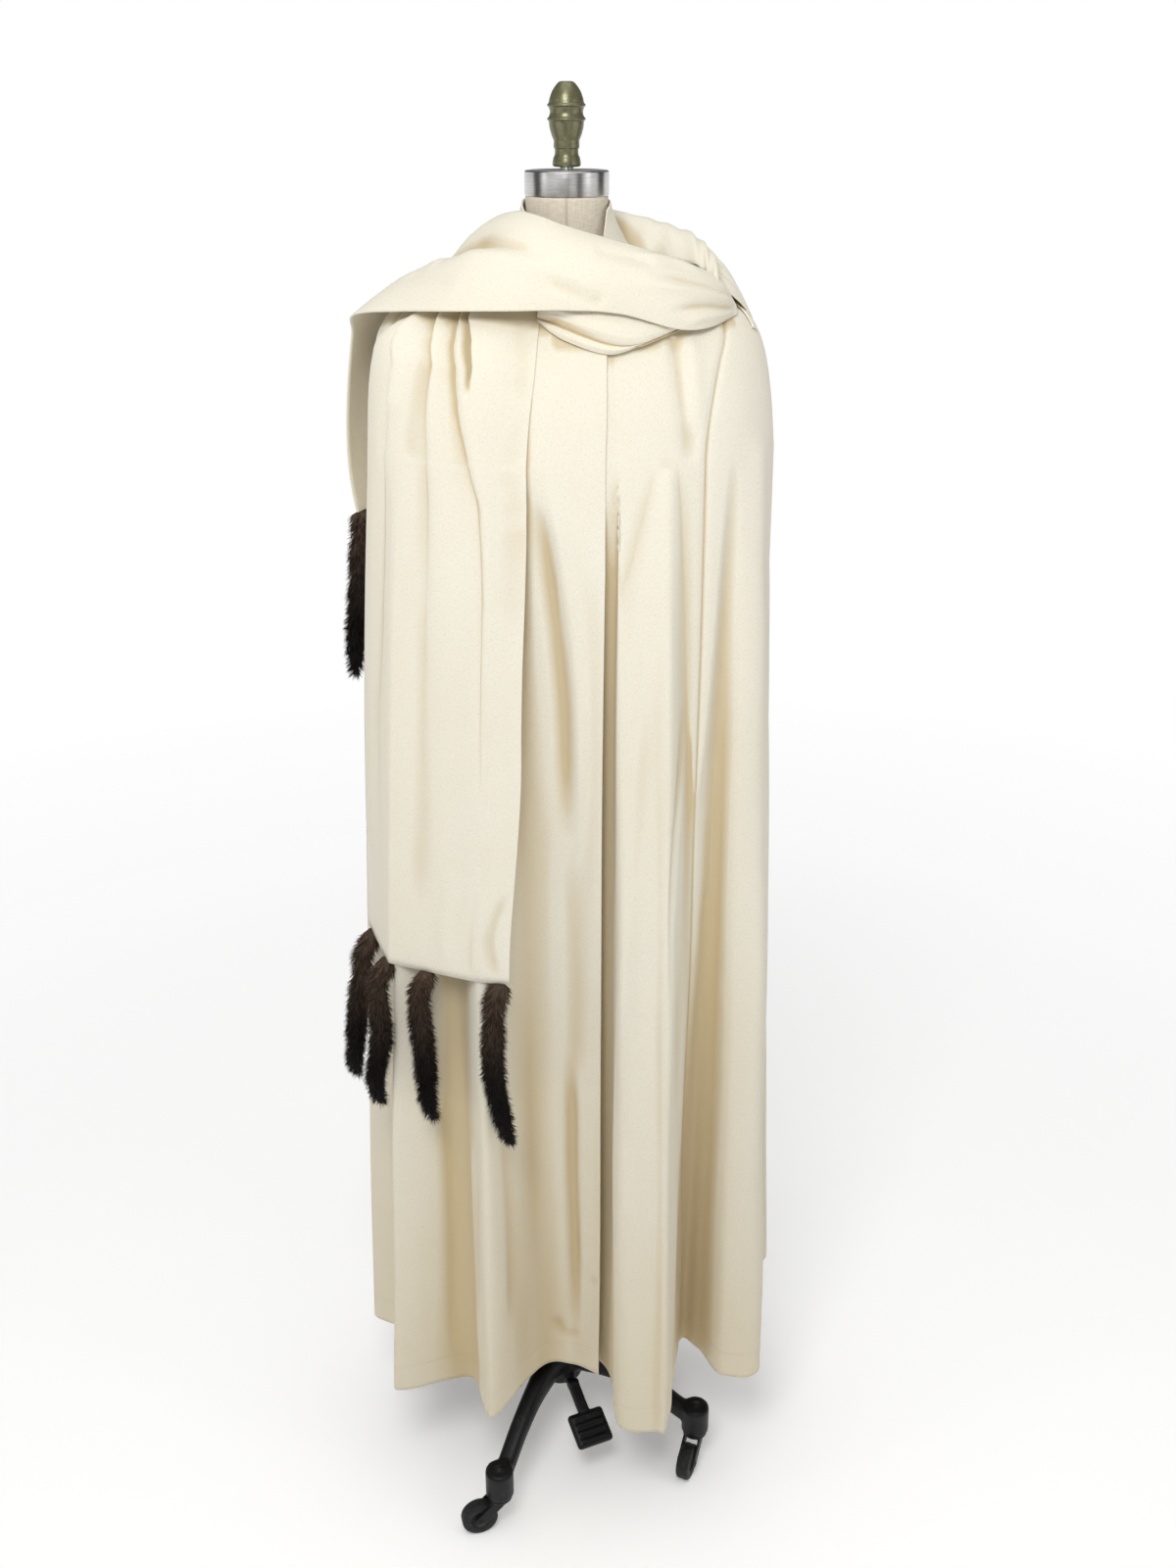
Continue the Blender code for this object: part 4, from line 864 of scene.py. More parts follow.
def wedge_cut(share, drop):
    """How far the wedge beside the first pleat's side is cut into it, as a share of its height."""
    inner, outer, *_, depth = pleat_rows(drop)
    return np.clip(depth, 0.0, 1.0) * arch(within(share, inner, outer)) ** WEDGE_POWER


def pleat_height(share, drop):
    """Height of the front fall's pleats: each rises slowly outwards and ends in a sharp side."""
    _, _, *values, _ = pleat_rows(drop)
    power = lerp(*PLEAT_POWERS, ease(drop, *PLEAT_DROPS))
    bounds = [np.zeros_like(share), *values[:3], np.ones_like(share)]
    height = np.zeros_like(share)
    for low, high, rise, crest in zip(bounds, bounds[1:], values[3:], PLEAT_CRESTS):
        across = within(share, low, high) ** (math.log(0.5) / math.log(crest))
        height += np.maximum(rise, 0.0) * arch(across) ** power
    return height * (1.0 - wedge_cut(share, drop))


def front_fall_point(share, drop):
    inner, outer = np.moveaxis(read(FRONT_FALL, drop), -1, 0)
    lift = FRONT_FALL_LIFT + FRONT_FALL_STAND_OFF * ease(drop, *STAND_OFF_DROPS)
    return on_wrap(lerp(inner, outer, share), drop, lift + pleat_height(share, drop))


def swell(share, crown, dip):
    """Height of a strip above the straight line between its edges."""
    beside = (share - DIP_PLACE) / DIP_SPREAD
    return arch(share) * (crown - dip * np.exp(-beside * beside))


def strip(edges, first, last, along, across):
    """Rows of points down a strip from its upper to its lower edge."""
    here = np.linspace(first, last, along + 1)
    upper, lower, crown, dip = edges(here)
    before, after = edges(here - STRIP_STEP), edges(here + STRIP_STEP)
    run = (after[0] + after[1]) - (before[0] + before[1])
    out = unit(np.cross(run, lower - upper))
    share = np.linspace(0.0, 1.0, across + 1)[:, None]
    height = swell(share, crown, dip)
    return trimmed(lerp(upper, lower, share[..., None]) + out * height[..., None])


def trimmed(points):
    """Rows with their two ends drawn in by half a seam gap."""
    points = points.copy()
    for end, inner in ((0, 1), (-1, -2)):
        points[:, end] += unit(points[:, inner] - points[:, end]) * SEAM_GAP / 2
    return points


def outer_wrap_edges(here):
    values = flow(OUTER_WRAP, here)
    return values[:, 0:3], values[:, 3:6], values[:, 6], values[:, 7]


def neck_edges(here):
    values = flow(NECK_WRAP, here)
    clear = settings().cloth.scarf_wall + NECK_CLEAR
    lower = on_yoke(values[:, 3], values[:, 4], np.full(len(here), clear))
    return values[:, 0:3], lower, values[:, 5], np.zeros(len(here))


def neck_points():
    """The neck stretch with a lip turned forward from its upper edge, gathered towards the slot."""
    last = len(NECK_WRAP) - 1
    stretch = strip(neck_edges, 0, last, *NECK_STEPS)
    here = np.linspace(0.0, last, stretch.shape[1])
    share = np.linspace(1.0, 0.0, NECK_LIP_ROWS, endpoint=False)[:, None]
    reach = read(NECK_LIP, here)
    lip = stretch[0] + reach * share[..., None]
    lip[..., 2] += np.linalg.norm(reach, axis=-1) * NECK_LIP_CROWN * arch(share)
    points = np.concatenate([lip, stretch])
    rows = np.array(NECK_GATHERS)
    ridges = (rows[:, 2] * np.exp(-((here[:, None] - rows[:, 0]) / rows[:, 1]) ** 2)).sum(axis=1)
    down = np.concatenate([np.zeros(NECK_LIP_ROWS), np.linspace(0.0, 1.0, len(stretch))])[:, None]
    gathers = ridges * (1.0 - smooth(down / NECK_GATHER_END))
    return points + grid_normals(points) * gathers[..., None]


def grid_normals(points):
    """Unit normals of rows of points that run down, with points that run by turn."""
    return unit(np.cross(np.gradient(points, axis=1), np.gradient(points, axis=0)))


def grid_place(values, wanted):
    """Fractional index of wanted values in a rising or falling list."""
    order = 1.0 if values[-1] > values[0] else -1.0
    return np.interp(order * wanted, order * values, np.arange(len(values)))


def sampled(points, rows, columns):
    """Points of a grid at fractional rows and columns."""
    row = np.clip(np.floor(rows).astype(int), 0, points.shape[0] - 2)
    column = np.clip(np.floor(columns).astype(int), 0, points.shape[1] - 2)
    low, side = (rows - row)[:, None], (columns - column)[:, None]
    upper = lerp(points[row, column], points[row, column + 1], side)
    lower = lerp(points[row + 1, column], points[row + 1, column + 1], side)
    return lerp(upper, lower, low)


def crease_lift(points, across, down, creases):
    """How far a grid's points move for soft ridges and troughs.

    Down names the grid's rows, and across its columns, or each point where columns change their names.
    """
    lift = np.zeros(points.shape[:-1])
    names = np.broadcast_to(across, lift.shape)
    lengthwise = np.linspace(0.0, 1.0, CREASE_STEPS)
    fade = np.minimum(1.0, 4.0 * np.minimum(lengthwise, 1.0 - lengthwise))
    for places, low_width, high_width, height in creases:
        spots = flow(places, lengthwise * (len(places) - 1))
        if spots[:, 0].max() < across.min() or spots[:, 0].min() > across.max():
            continue
        rows = grid_place(down, spots[:, 1])
        columns = [grid_place(names[int(round(row))], place) for row, place in zip(rows, spots[:, 0])]
        line = sampled(points, rows, np.array(columns))
        margin = 3.0 * max(low_width, high_width)
        near = np.all((points > line.min(axis=0) - margin) & (points < line.max(axis=0) + margin), axis=-1)
        away = np.linalg.norm(points[near][:, None] - line[None], axis=-1)
        closest = away.argmin(axis=1)
        width = np.where(names[near] > spots[closest, 0], high_width, low_width)
        lift[near] += height * smooth(fade[closest]) * np.exp(-(away.min(axis=1) / width) ** 2)
    return lift


def creased(points, across, down, creases):
    """A grid with its soft ridges and troughs."""
    return points + grid_normals(points) * crease_lift(points, across, down, creases)[..., None]


def hollows(points):
    """How deep each point lies below the cloth within reach of it, in metres; above it is below 0."""
    spans = [np.median(np.linalg.norm(np.diff(points, axis=axis), axis=-1)) for axis in (0, 1)]
    smoothed = points
    for _ in range(HOLLOW_PASSES):
        for axis, span in enumerate(spans):
            steps = max(1, int(round(HOLLOW_REACH / span)))
            width = [(0, 0)] * 3
            width[axis] = (steps, steps)
            padded = np.pad(smoothed, width, mode="reflect", reflect_type="odd")
            sums = np.cumsum(padded, axis=axis)
            sums = np.concatenate([np.zeros_like(np.take(sums, [0], axis=axis)), sums], axis=axis)
            count = points.shape[axis]
            late = np.take(sums, np.arange(2 * steps + 1, 2 * steps + 1 + count), axis=axis)
            smoothed = (late - np.take(sums, np.arange(count), axis=axis)) / (2 * steps + 1)
    return ((smoothed - points) * grid_normals(points)).sum(axis=-1)


def thinned(count, step):
    """Every few of a number of rows, with the last."""
    return np.unique(np.append(np.arange(0, count, step), count - 1))


def cloth_tree():
    """All the cloth as one body that rays can meet."""
    if "all" not in CLOTH_TREES:
        shapes = []
        for grid in cloth_grids().values():
            coarse = grid[np.ix_(*(thinned(count, SHELTER_CLOTH_STEP) for count in grid.shape[:2]))]
            shapes.append((coarse.reshape(-1, 3), grid_faces(*coarse.shape[:2])))
        points, faces = joined(shapes)
        CLOTH_TREES["all"] = BVHTree.FromPolygons(points.tolist(), faces)
    return CLOTH_TREES["all"]


def shelter(points):
    """How much of the air in front of each point other cloth takes, from 0 to 1."""
    rows, columns = (thinned(count, SHELTER_STEP) for count in points.shape[:2])
    pick = np.ix_(rows, columns)
    normals = grid_normals(points)[pick].reshape(-1, 3)
    starts = points[pick].reshape(-1, 3) + normals * SHELTER_START
    number = np.arange(SHELTER_RAYS) + 0.5
    height = 1.0 - 2.0 * number / SHELTER_RAYS
    lie = number * math.pi * (1.0 + 5.0 ** 0.5)
    level = np.sqrt(1.0 - height ** 2)
    rays = np.stack([level * np.cos(lie), level * np.sin(lie), height], axis=-1)
    facing = normals @ rays.T
    taken = np.zeros(facing.shape)
    tree = cloth_tree()
    for spot, ray in np.argwhere(facing > SHELTER_FACING):
        away = tree.ray_cast(starts[spot], rays[ray], SHELTER_REACH)[3]
        if away is not None:
            taken[spot, ray] = 1.0 - away / SHELTER_REACH
    weight = np.where(facing > SHELTER_FACING, facing, 0.0)
    closed = ((taken * weight).sum(axis=1) / weight.sum(axis=1)).reshape(len(rows), len(columns))
    across = np.array([np.interp(np.arange(points.shape[1]), columns, row) for row in closed])
    return np.array([np.interp(np.arange(points.shape[0]), rows, column) for column in across.T]).T


def slack(points, height):
    """Gentle unevenness that runs mostly up and down the cloth."""
    draw = np.random.default_rng(SLACK_SEED)
    total = np.zeros(points.shape[:-1])
    for _ in range(SLACK_WAVES):
        wave = draw.uniform(*SLACK_LENGTHS)
        lie = draw.uniform(0.0, 2 * np.pi)
        pace = np.array([np.cos(lie) / wave, np.sin(lie) / wave, draw.uniform(-1.0, 1.0) / SLACK_FALL])
        total += np.sin(points @ pace * 2 * np.pi + draw.uniform(0.0, 2 * np.pi))
    return total * height / SLACK_WAVES ** 0.5


# Meshes

def link(name, mesh):
    item = bpy.data.objects.new(name, mesh)
    bpy.context.scene.collection.objects.link(item)
    return item


def mesh_from(name, points, faces):
    mesh = bpy.data.meshes.new(name)
    corners = [list(map(int, face)) for face in faces]
    mesh.from_pydata(np.asarray(points).reshape(-1, 3).tolist(), [], corners)
    mesh.validate()
    return mesh


def grid_faces(rows, columns, closed=False):
    """Quads of a grid that face out where rows run down and points run by turn."""
    index = np.arange(rows * columns).reshape(rows, columns)
    if closed:
        index = np.hstack([index, index[:, :1]])
    corners = (index[:-1, :-1], index[:-1, 1:], index[1:, 1:], index[1:, :-1])
    return np.stack(corners, axis=-1).reshape(-1, 4).tolist()


def add_weave_map(mesh, across, down):
    """Map in metres that a weave follows."""
    layer = mesh.uv_layers.new(name="weave")
    corner = np.empty(len(mesh.loops), dtype=np.int32)
    mesh.loops.foreach_get("vertex_index", corner)
    places = np.stack([np.ravel(across), np.ravel(down)], axis=-1)[corner]
    layer.data.foreach_set("uv", places.astype(np.float32).ravel())


def add_value(mesh, name, values):
    """Give each point of a mesh a named value."""
    mesh.attributes.new(name, "FLOAT", "POINT").data.foreach_set("value", np.ravel(values))


def run_lengths(points, axis):
    """Distance along a grid from its first row or column."""
    steps = np.linalg.norm(np.diff(points, axis=axis), axis=-1)
    start = np.zeros_like(np.take(steps, [0], axis=axis))
    return np.concatenate([start, np.cumsum(steps, axis=axis)], axis=axis)


def cloth_piece(name, wall, painted_shade_amount=0.0):
    """Thin cloth on its rows of points, with painted shade in its hollows and where other cloth shelters it.
    """
    points = cloth_grids()[name]
    # Painted shade where other cloth takes the air in front of this cloth, added to any painted shade given
    painted_shade_amount = painted_shade_amount + SHELTER_PAINTED_SHADE * ease(shelter(points), *SHELTER_RANGE)
    mesh = mesh_from(name, points, grid_faces(*points.shape[:2]))
    add_weave_map(mesh, run_lengths(points, 1), run_lengths(points, 0))
    add_value(mesh, "hollow", hollows(points) / HOLLOW_DEPTH + painted_shade_amount)
    mesh.shade_smooth()
    mesh.materials.append(finish_of("wool"))
    item = link(name, mesh)
    thick = item.modifiers.new("Wall", "SOLIDIFY")
    thick.thickness = wall
    thick.offset = -1.0
    return item


def loft(rings):
    """Points and faces of a closed body through rings from the top down, with flat ends."""
    rings = np.asarray(rings)
    count, sides = rings.shape[:2]
    faces = grid_faces(count, sides, closed=True)
    faces.append(list(range(sides - 1, -1, -1)))
    faces.append(list(range((count - 1) * sides, count * sides)))
    return rings.reshape(-1, 3), faces


def all_round(sides):
    """Turns that divide a circle."""
    return np.arange(sides) * 360.0 / sides


def turned_rings(profile, sides):
    """Rings about Z from (height, radius)."""
    profile = np.asarray(profile, dtype=float)
    rings = heading(all_round(sides))[None] * profile[:, 1, None, None]
    rings[..., 2] = profile[:, 0, None]
    return rings


def turned(profile, sides):
    """Points and faces of a body turned about Z from (height, radius), top to bottom."""
    return loft(turned_rings(profile, sides))


def joined(shapes):
    """One list of points and faces from several."""
    points, faces, start = [], [], 0
    for some, more in shapes:
        points.append(np.asarray(some))
        faces += [[corner + start for corner in face] for face in more]
        start += len(some)
    return np.concatenate(points), faces


def moved(shape, matrix):
    """Shape with its points turned and moved."""
    points, faces = shape
    turn = np.array(matrix)
    return points @ turn[:3, :3].T + turn[:3, 3], faces


def block(size, rounding):
    """Points and faces of a box with rounded edges about the origin."""
    shape = bmesh.new()
    bmesh.ops.create_cube(shape, size=1.0, matrix=Matrix.Diagonal((*size, 1.0)))
    bmesh.ops.bevel(shape, geom=shape.edges[:], offset=rounding, segments=3, affect="EDGES", profile=0.5)
    shape.verts.index_update()
    points = np.array([vert.co for vert in shape.verts])
    faces = [[vert.index for vert in face.verts] for face in shape.faces]
    shape.free()
    return points, faces


def dress(item, body, node):
    """Fix a piece to its body and hide the node it stands for."""
    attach(item, body)
    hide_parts(node)


def solid_piece(name, shape, body, slot, node, sharp=40.0):
    """Smooth body whose edges past an angle stay sharp."""
    mesh = mesh_from(name, *shape)
    mesh.shade_smooth()
    mesh.set_sharp_from_angle(angle=math.radians(sharp))
    mesh.materials.append(finish_of(slot))
    dress(link(name, mesh), body, node)


def settle(item):
    """Give an object its evaluated shape as a plain mesh."""
    deps = bpy.context.evaluated_depsgraph_get()
    mesh = bpy.data.meshes.new_from_object(item.evaluated_get(deps))
    item.modifiers.clear()
    item.data = mesh
    return item


def cast_piece(name, shape, body, node, step, softening):
    """Iron casting: overlapping bodies fused into one skin with soft edges."""
    item = link(name, mesh_from(name, *shape))
    fuse = item.modifiers.new("Fuse", "REMESH")
    fuse.mode = "VOXEL"
    fuse.voxel_size = step
    soften = item.modifiers.new("Soften", "SMOOTH")
    soften.iterations = softening
    soften.factor = 0.5
    settle(item)
    item.data.shade_smooth()
    item.data.materials.clear()
    item.data.materials.append(finish_of("iron"))
    dress(item, body, node)


# Finishes

class Socket:
    """Output of a node that can be reckoned with; each sum adds its Math node."""

    def __init__(self, tree, output=None):
        self.tree = tree
        self.output = output

    def node(self, kind, traits=None, sockets=None, output=0):
        """Add any node: its type, its settings, then the values or links of its sockets."""
        node = self.tree.nodes.new(kind)
        for name, trait in (traits or {}).items():
            if name == "stops":
                set_stops(node.color_ramp, trait)
            else:
                setattr(node, name, trait)
        for name, value in (sockets or {}).items():
            if isinstance(value, Socket):
                self.tree.links.new(value.output, node.inputs[name])
            else:
                node.inputs[name].default_value = value
        return Socket(self.tree, node.outputs[output])

    def reckon(self, operation, first, second):
        return self.node("ShaderNodeMath", {"operation": operation}, {0: first, 1: second})

    def mix(self, first, second):
        """Colour between two others, with this value as the share of the second."""
        return self.node("ShaderNodeMix", {"data_type": "RGBA"}, {0: self, 6: first, 7: second}, 2)

    def ramp(self, *stops):
        """This value through a ramp of (place, brightness)."""
        return self.node("ShaderNodeValToRGB", {"stops": stops}, {0: self})

    def __add__(self, other):
        return self.reckon("ADD", self, other)

    def __radd__(self, other):
        return self.reckon("ADD", other, self)

    def __sub__(self, other):
        return self.reckon("SUBTRACT", self, other)

    def __rsub__(self, other):
        return self.reckon("SUBTRACT", other, self)

    def __mul__(self, other):
        return self.reckon("MULTIPLY", self, other)


def set_stops(ramp, stops):
    while len(ramp.elements) < len(stops):
        ramp.elements.new(1.0)
    for element, (place, shade) in zip(ramp.elements, stops):
        element.position = place
        element.color = (shade, shade, shade, 1.0)


def rgba(colour, times=1.0, plus=0.0):
    """Colour as a socket takes it, made darker or paler."""
    return (*(min(1.0, times * part + plus) for part in colour), 1.0)


class Finish:
    """Material with one Principled shader."""

    def __init__(self, name, **constants):
        self.material = bpy.data.materials.new(name)
        self.material.use_nodes = True
        self.tree = self.material.node_tree
        self.shader = self.tree.nodes["Principled BSDF"]
        self.start = Socket(self.tree)
        for socket, value in constants.items():
            self.shader.inputs[socket.replace("_", " ")].default_value = value

    def feed(self, **sockets):
        for name, value in sockets.items():
            self.tree.links.new(value.output, self.shader.inputs[name.replace("_", " ")])
        return self.material

    def place(self, scale=(1.0, 1.0, 1.0)):
        """Object coordinates, stretched by a scale."""
        here = self.start.node("ShaderNodeTexCoord", output=3)
        return here.node("ShaderNodeMapping", None, {"Vector": here, "Scale": scale})

    def weave_place(self, scale=(1.0, 1.0, 1.0)):
        """The piece's own map in metres, stretched by a scale."""
        here = self.start.node("ShaderNodeUVMap", {"uv_map": "weave"})
        return here.node("ShaderNodeMapping", None, {"Vector": here, "Scale": scale})

    def noise(self, vector, scale, detail=3.0, roughness=0.55):
        return vector.node("ShaderNodeTexNoise", None,
                           {"Vector": vector, "Scale": scale, "Detail": detail, "Roughness": roughness})

    def bump(self, height, strength, distance):
        return height.node("ShaderNodeBump", None,
                           {"Height": height, "Strength": strength, "Distance": distance})

    def attribute(self, name):
        return self.start.node("ShaderNodeAttribute", {"attribute_name": name}, output=2)


def wool_finish():
    """Ivory wool crepe: pebbled threads, a soft nap and faint yellowing, with painted shade in its hollows
    and sheltered places and towards the hem.
    """
    cloth = settings().cloth
    wool = Finish("ivory wool crepe", Roughness=0.88, Sheen_Weight=0.18, Sheen_Roughness=0.45,
                  Specular_IOR_Level=0.18)
    wool.shader.inputs["Sheen Tint"].default_value = (1.0, 0.96, 0.88, 1.0)
    threads = wool.weave_place((1.0, 0.55, 1.0))
    pebble = wool.noise(threads, 620.0, 2.0)
    grain = wool.noise(wool.weave_place((0.6, 1.0, 1.0)), 330.0, 2.0)
    yellowing = wool.noise(wool.place((1.0, 1.0, 0.6)), 5.0, 4.0)
    tone = yellowing.ramp((0.38, 0.0), (0.68, 1.0)) * 0.55 + grain.ramp((0.38, 0.0), (0.62, 1.0)) * 0.60
    flecks = (pebble * 0.6 + grain * 0.4).ramp((0.36, 1.0), (0.50, 0.0)) * 0.45
    colour = flecks.mix(tone.mix(rgba(cloth.ivory), rgba(cloth.cream)), rgba(cloth.cream, 0.80))
    # Painted shade: the cloth turns darker and more golden towards the hem, where less light falls
    here = wool.place()
    low = here.node("ShaderNodeSeparateXYZ", None, {0: here}, 2)
    colour = (low.ramp((0.20, 1.0), (0.85, 0.0)) * 0.34).mix(colour, rgba(cloth.hollow))
    # Painted shade deep in the folds, where other cloth shelters it, along the seams and in the wedge
    deep = wool.attribute("hollow").ramp((0.0, 0.0), (1.0, 1.0)) * 0.8
    colour = deep.mix(colour, rgba(cloth.hollow))
    near, middle, far = (10.0 * (HEM_TURN_UP + side * HEM_STITCH) for side in (-1, 0, 1))
    stitches = (wool.attribute("hem") * 10.0).ramp((near, 1.0), (middle, 0.0), (far, 1.0))
    height = pebble * 0.5 + grain * 0.3 + stitches * 0.8
    return wool.feed(Base_Color=colour, Normal=wool.bump(height, 0.70, 0.0010))


def fur_finish():
    """Dark fur, browner towards the skin and from hair to hair, with a painted highlight towards the top of
    each tail.
    """
    fur_settings = settings().fur
    fur = Finish("dark brown fur", Roughness=0.55, Specular_IOR_Level=0.16)
    tip = fur.attribute("tip")
    tone = fur.attribute("tone")
    high = fur.attribute("along")
    # Lighter towards the top of each tail: painted highlight where light falls on the tails' tops
    share = (tone * 0.6 + (1.0 - tip) * 0.35) * high.ramp((0.0, 1.0), (0.30, 0.55), (0.65, 0.12))
    colour = share.ramp((0.10, 0.0), (0.85, 1.0)).mix(rgba(fur_settings.tip), rgba(fur_settings.root))
    return fur.feed(Base_Color=colour)


def linen_finish():
    """Linen cover of the form, with slubs and a seam down its front and back."""
    form = settings().form
    linen = Finish("natural linen", Roughness=0.85, Sheen_Weight=0.12, Specular_IOR_Level=0.2)
    warp = linen.noise(linen.weave_place((1.0, 0.06, 1.0)), 900.0, 2.0)
    weft = linen.noise(linen.weave_place((0.06, 1.0, 1.0)), 900.0, 2.0)
    weave = warp * 0.5 + weft * 0.5
    seam = linen.attribute("seam")
    tone = weave.ramp((0.38, 0.0), (0.62, 1.0)) * 0.55 + seam * 0.6
    colour = tone.mix(rgba(form.linen, 1.08), rgba(form.linen, 0.62))
    height = weave - seam * 0.6
    return linen.feed(Base_Color=colour, Normal=linen.bump(height, 0.35, 0.0006))


def steel_finish():
    """Steel brushed round the form's neck and the post."""
    form = settings().form
    steel = Finish("brushed steel", Metallic=1.0, Anisotropic=0.8, Anisotropic_Rotation=0.25)
    streaks = steel.noise(steel.place((1.0, 1.0, 30.0)), 60.0, 4.0)
    smears = steel.noise(steel.place(), 38.0, 3.0)
    colour = streaks.ramp((0.35, 0.0), (0.65, 1.0)).mix(rgba(form.steel, 0.72), rgba(form.steel))
    roughness = 0.22 + streaks * 0.14 + smears * 0.10
    return steel.feed(Base_Color=colour, Roughness=roughness, Normal=steel.bump(streaks, 0.12, 0.0004))


def paint_finish():
    """Worn gold-green paint on turned wood."""
    form = settings().form
    paint = Finish("gold green paint", Metallic=0.55, Coat_Weight=0.10)
    rings = paint.noise(paint.place((1.0, 1.0, 9.0)), 90.0, 3.0)
    worn = paint.noise(paint.place(), 120.0, 5.0)
    pale = rgba(form.paint, 1.25, 0.03)
    base = (rings.ramp((0.35, 0.0), (0.65, 1.0)) * 0.5).mix(rgba(form.paint), pale)
    colour = worn.ramp((0.60, 0.0), (0.72, 1.0)).mix(base, rgba(form.paint, 0.45))
    roughness = 0.26 + worn * 0.20
    height = rings * 0.35 + worn * 0.4
    return paint.feed(Base_Color=colour, Roughness=roughness, Normal=paint.bump(height, 0.12, 0.0005))


def iron_finish():
    """Black paint over sand-cast iron, rubbed through in places."""
    stand = settings().stand
    iron = Finish("black cast iron", Specular_IOR_Level=0.24)
    sand = iron.noise(iron.place(), 420.0, 3.0)
    rubbed = iron.noise(iron.place(), 34.0, 6.0, 0.7)
    bare = rgba(stand.iron, plus=0.022)
    colour = rubbed.ramp((0.58, 0.0), (0.74, 1.0)).mix(rgba(stand.iron), bare)
    roughness = 0.30 + rubbed * 0.30
    height = sand * 0.7 + rubbed * 0.3
    return iron.feed(Base_Color=colour, Roughness=roughness, Normal=iron.bump(height, 0.22, 0.0008))


def rubber_finish():
    """Scuffed black rubber."""
    stand = settings().stand
    rubber = Finish("black rubber", Specular_IOR_Level=0.3)
    scuffs = rubber.noise(rubber.place(), 160.0, 5.0)
    dusty = rgba(stand.rubber, plus=0.020)
    colour = scuffs.ramp((0.50, 0.0), (0.72, 1.0)).mix(rgba(stand.rubber), dusty)
    return rubber.feed(Base_Color=colour, Roughness=0.50 + scuffs * 0.25,
                       Normal=rubber.bump(scuffs, 0.10, 0.0004))


def floor_finish():
    """Pale matt studio floor that fades into the backdrop."""
    stage = settings().stage
    floor = Finish("pale floor", Roughness=0.9, Specular_IOR_Level=0.1, Emission_Strength=0.26)
    here = floor.place()
    blotches = floor.noise(here, 2.0, 2.0)
    away = here.node("ShaderNodeVectorMath", {"operation": "LENGTH"}, {0: here}, 1)
    solid = (away * (1.0 / FLOOR_RADIUS)).ramp((0.14, 1.0), (0.30, 0.75), (0.50, 0.30), (0.80, 0.0))
    return floor.feed(Base_Color=blotches.mix(rgba(stage.floor), rgba(stage.floor, 1.02)), Alpha=solid)


FINISHES = {
    "wool": wool_finish,
    "fur": fur_finish,
    "linen": linen_finish,
    "steel": steel_finish,
    "finial_paint": paint_finish,
    "iron": iron_finish,
    "rubber": rubber_finish,
}
# What is made once and used by several pieces
MADE_FINISHES = {}
CLOTH_GRIDS = {}
CLOTH_TREES = {}


def finish_of(slot):
    """The material of a slot, made once."""
    if slot not in MADE_FINISHES:
        MADE_FINISHES[slot] = FINISHES[slot]()
    return MADE_FINISHES[slot]


# Pieces

def panel_columns(first, last, per_fold):
    """Fold places across a panel, closer beside its seams."""
    even = np.linspace(first, last, (last - first) * per_fold + 1)
    beside = np.array(SEAM_COLUMNS)
    return np.unique(np.concatenate([even, first + beside, last - beside]))


def beside_seams(points, first, last, spread):
    """How near a panel's points are to its seams; the cape's two front edges have none."""
    run = run_lengths(points, 1)
    near = np.zeros(points.shape[:-1])
    if first > 0:
        near += np.exp(-(run / spread) ** 2)
    if last < len(FOLDS) - 1:
        near += np.exp(-((run[:, -1:] - run) / spread) ** 2)
    return near


def panel_points(first, last):
    cloth = settings().cloth
    front = first == 0 or last == len(FOLDS) - 1
    folds = panel_columns(first, last, cloth.front_columns if front else cloth.columns_per_fold)
    yoke = np.linspace(0.0, 1.0, cloth.yoke_rows + 1)[:-1]
    drops = np.concatenate([yoke, np.linspace(1.0, 2.0, cloth.fall_rows + 1)])
    fold, drop = np.meshgrid(folds, drops)
    points = lapped_point(fold, drop)
    normals = outward(cape_point, np.clip(fold, FOLD_MARGIN, len(FOLDS) - 1 - FOLD_MARGIN), drop)
    lift = crease_lift(points, folds, drops, CAPE_CREASES)
    lift += slack(points, cloth.unevenness) * ease(drop, *SLACK_DROPS)
    lift -= SEAM_PINCH * beside_seams(points, first, last, SEAM_SPREAD) * ease(drop, *PINCH_DROPS)
    return trimmed(points + normals * lift[..., None])


class CAPE_OT_panels(bpy.types.Operator):
    """Hang the five panels of the cape"""
    bl_idname = "cape_stand.panels"
    bl_label = "Cape panels"

    def execute(self, context):
        for piece, node, first, last, width, length, area in PANELS:
            points = cloth_grids()[piece]
            # Painted shade along the seams
            painted_shade_amount = SEAM_PAINTED_SHADE * beside_seams(points, first, last, SEAM_SPREAD / 2)
            item = cloth_piece(piece, settings().cloth.cape_wall, painted_shade_amount)
            fall = run_lengths(points, 0)
            add_value(item.data, "hem", fall[-1:] - fall)
            dress(item, "form", node)
        return {"FINISHED"}


def hang_sheets(sheets):
    """Hang the pieces of a table of sheets."""
    for piece, node, width, length, held, rests_on in sheets:
        # Painted shade in the wedge of the front fall
        painted_shade_amount = WEDGE_PAINTED_SHADE * wedge_cut(*fall_grid()) if piece == "front_fall_cloth" else 0.0
        item = cloth_piece(piece, settings().cloth.scarf_wall, painted_shade_amount)
        dress(item, "form", node)


class CAPE_OT_scarf(bpy.types.Operator):
    """Wind the scarf: front fall, neck, chest, soft fold and back fall"""
    bl_idname = "cape_stand.scarf"
    bl_label = "Scarf"

    def execute(self, context):
        hang_sheets(SCARF_SHEETS)
        return {"FINISHED"}


class CAPE_OT_collar(bpy.types.Operator):
    """Stand the collar round the neck and sew the tab beside the slot"""
    bl_idname = "cape_stand.collar"
    bl_label = "Collar and tab"

    def execute(self, context):
        hang_sheets(COLLAR_SHEETS)
        return {"FINISHED"}


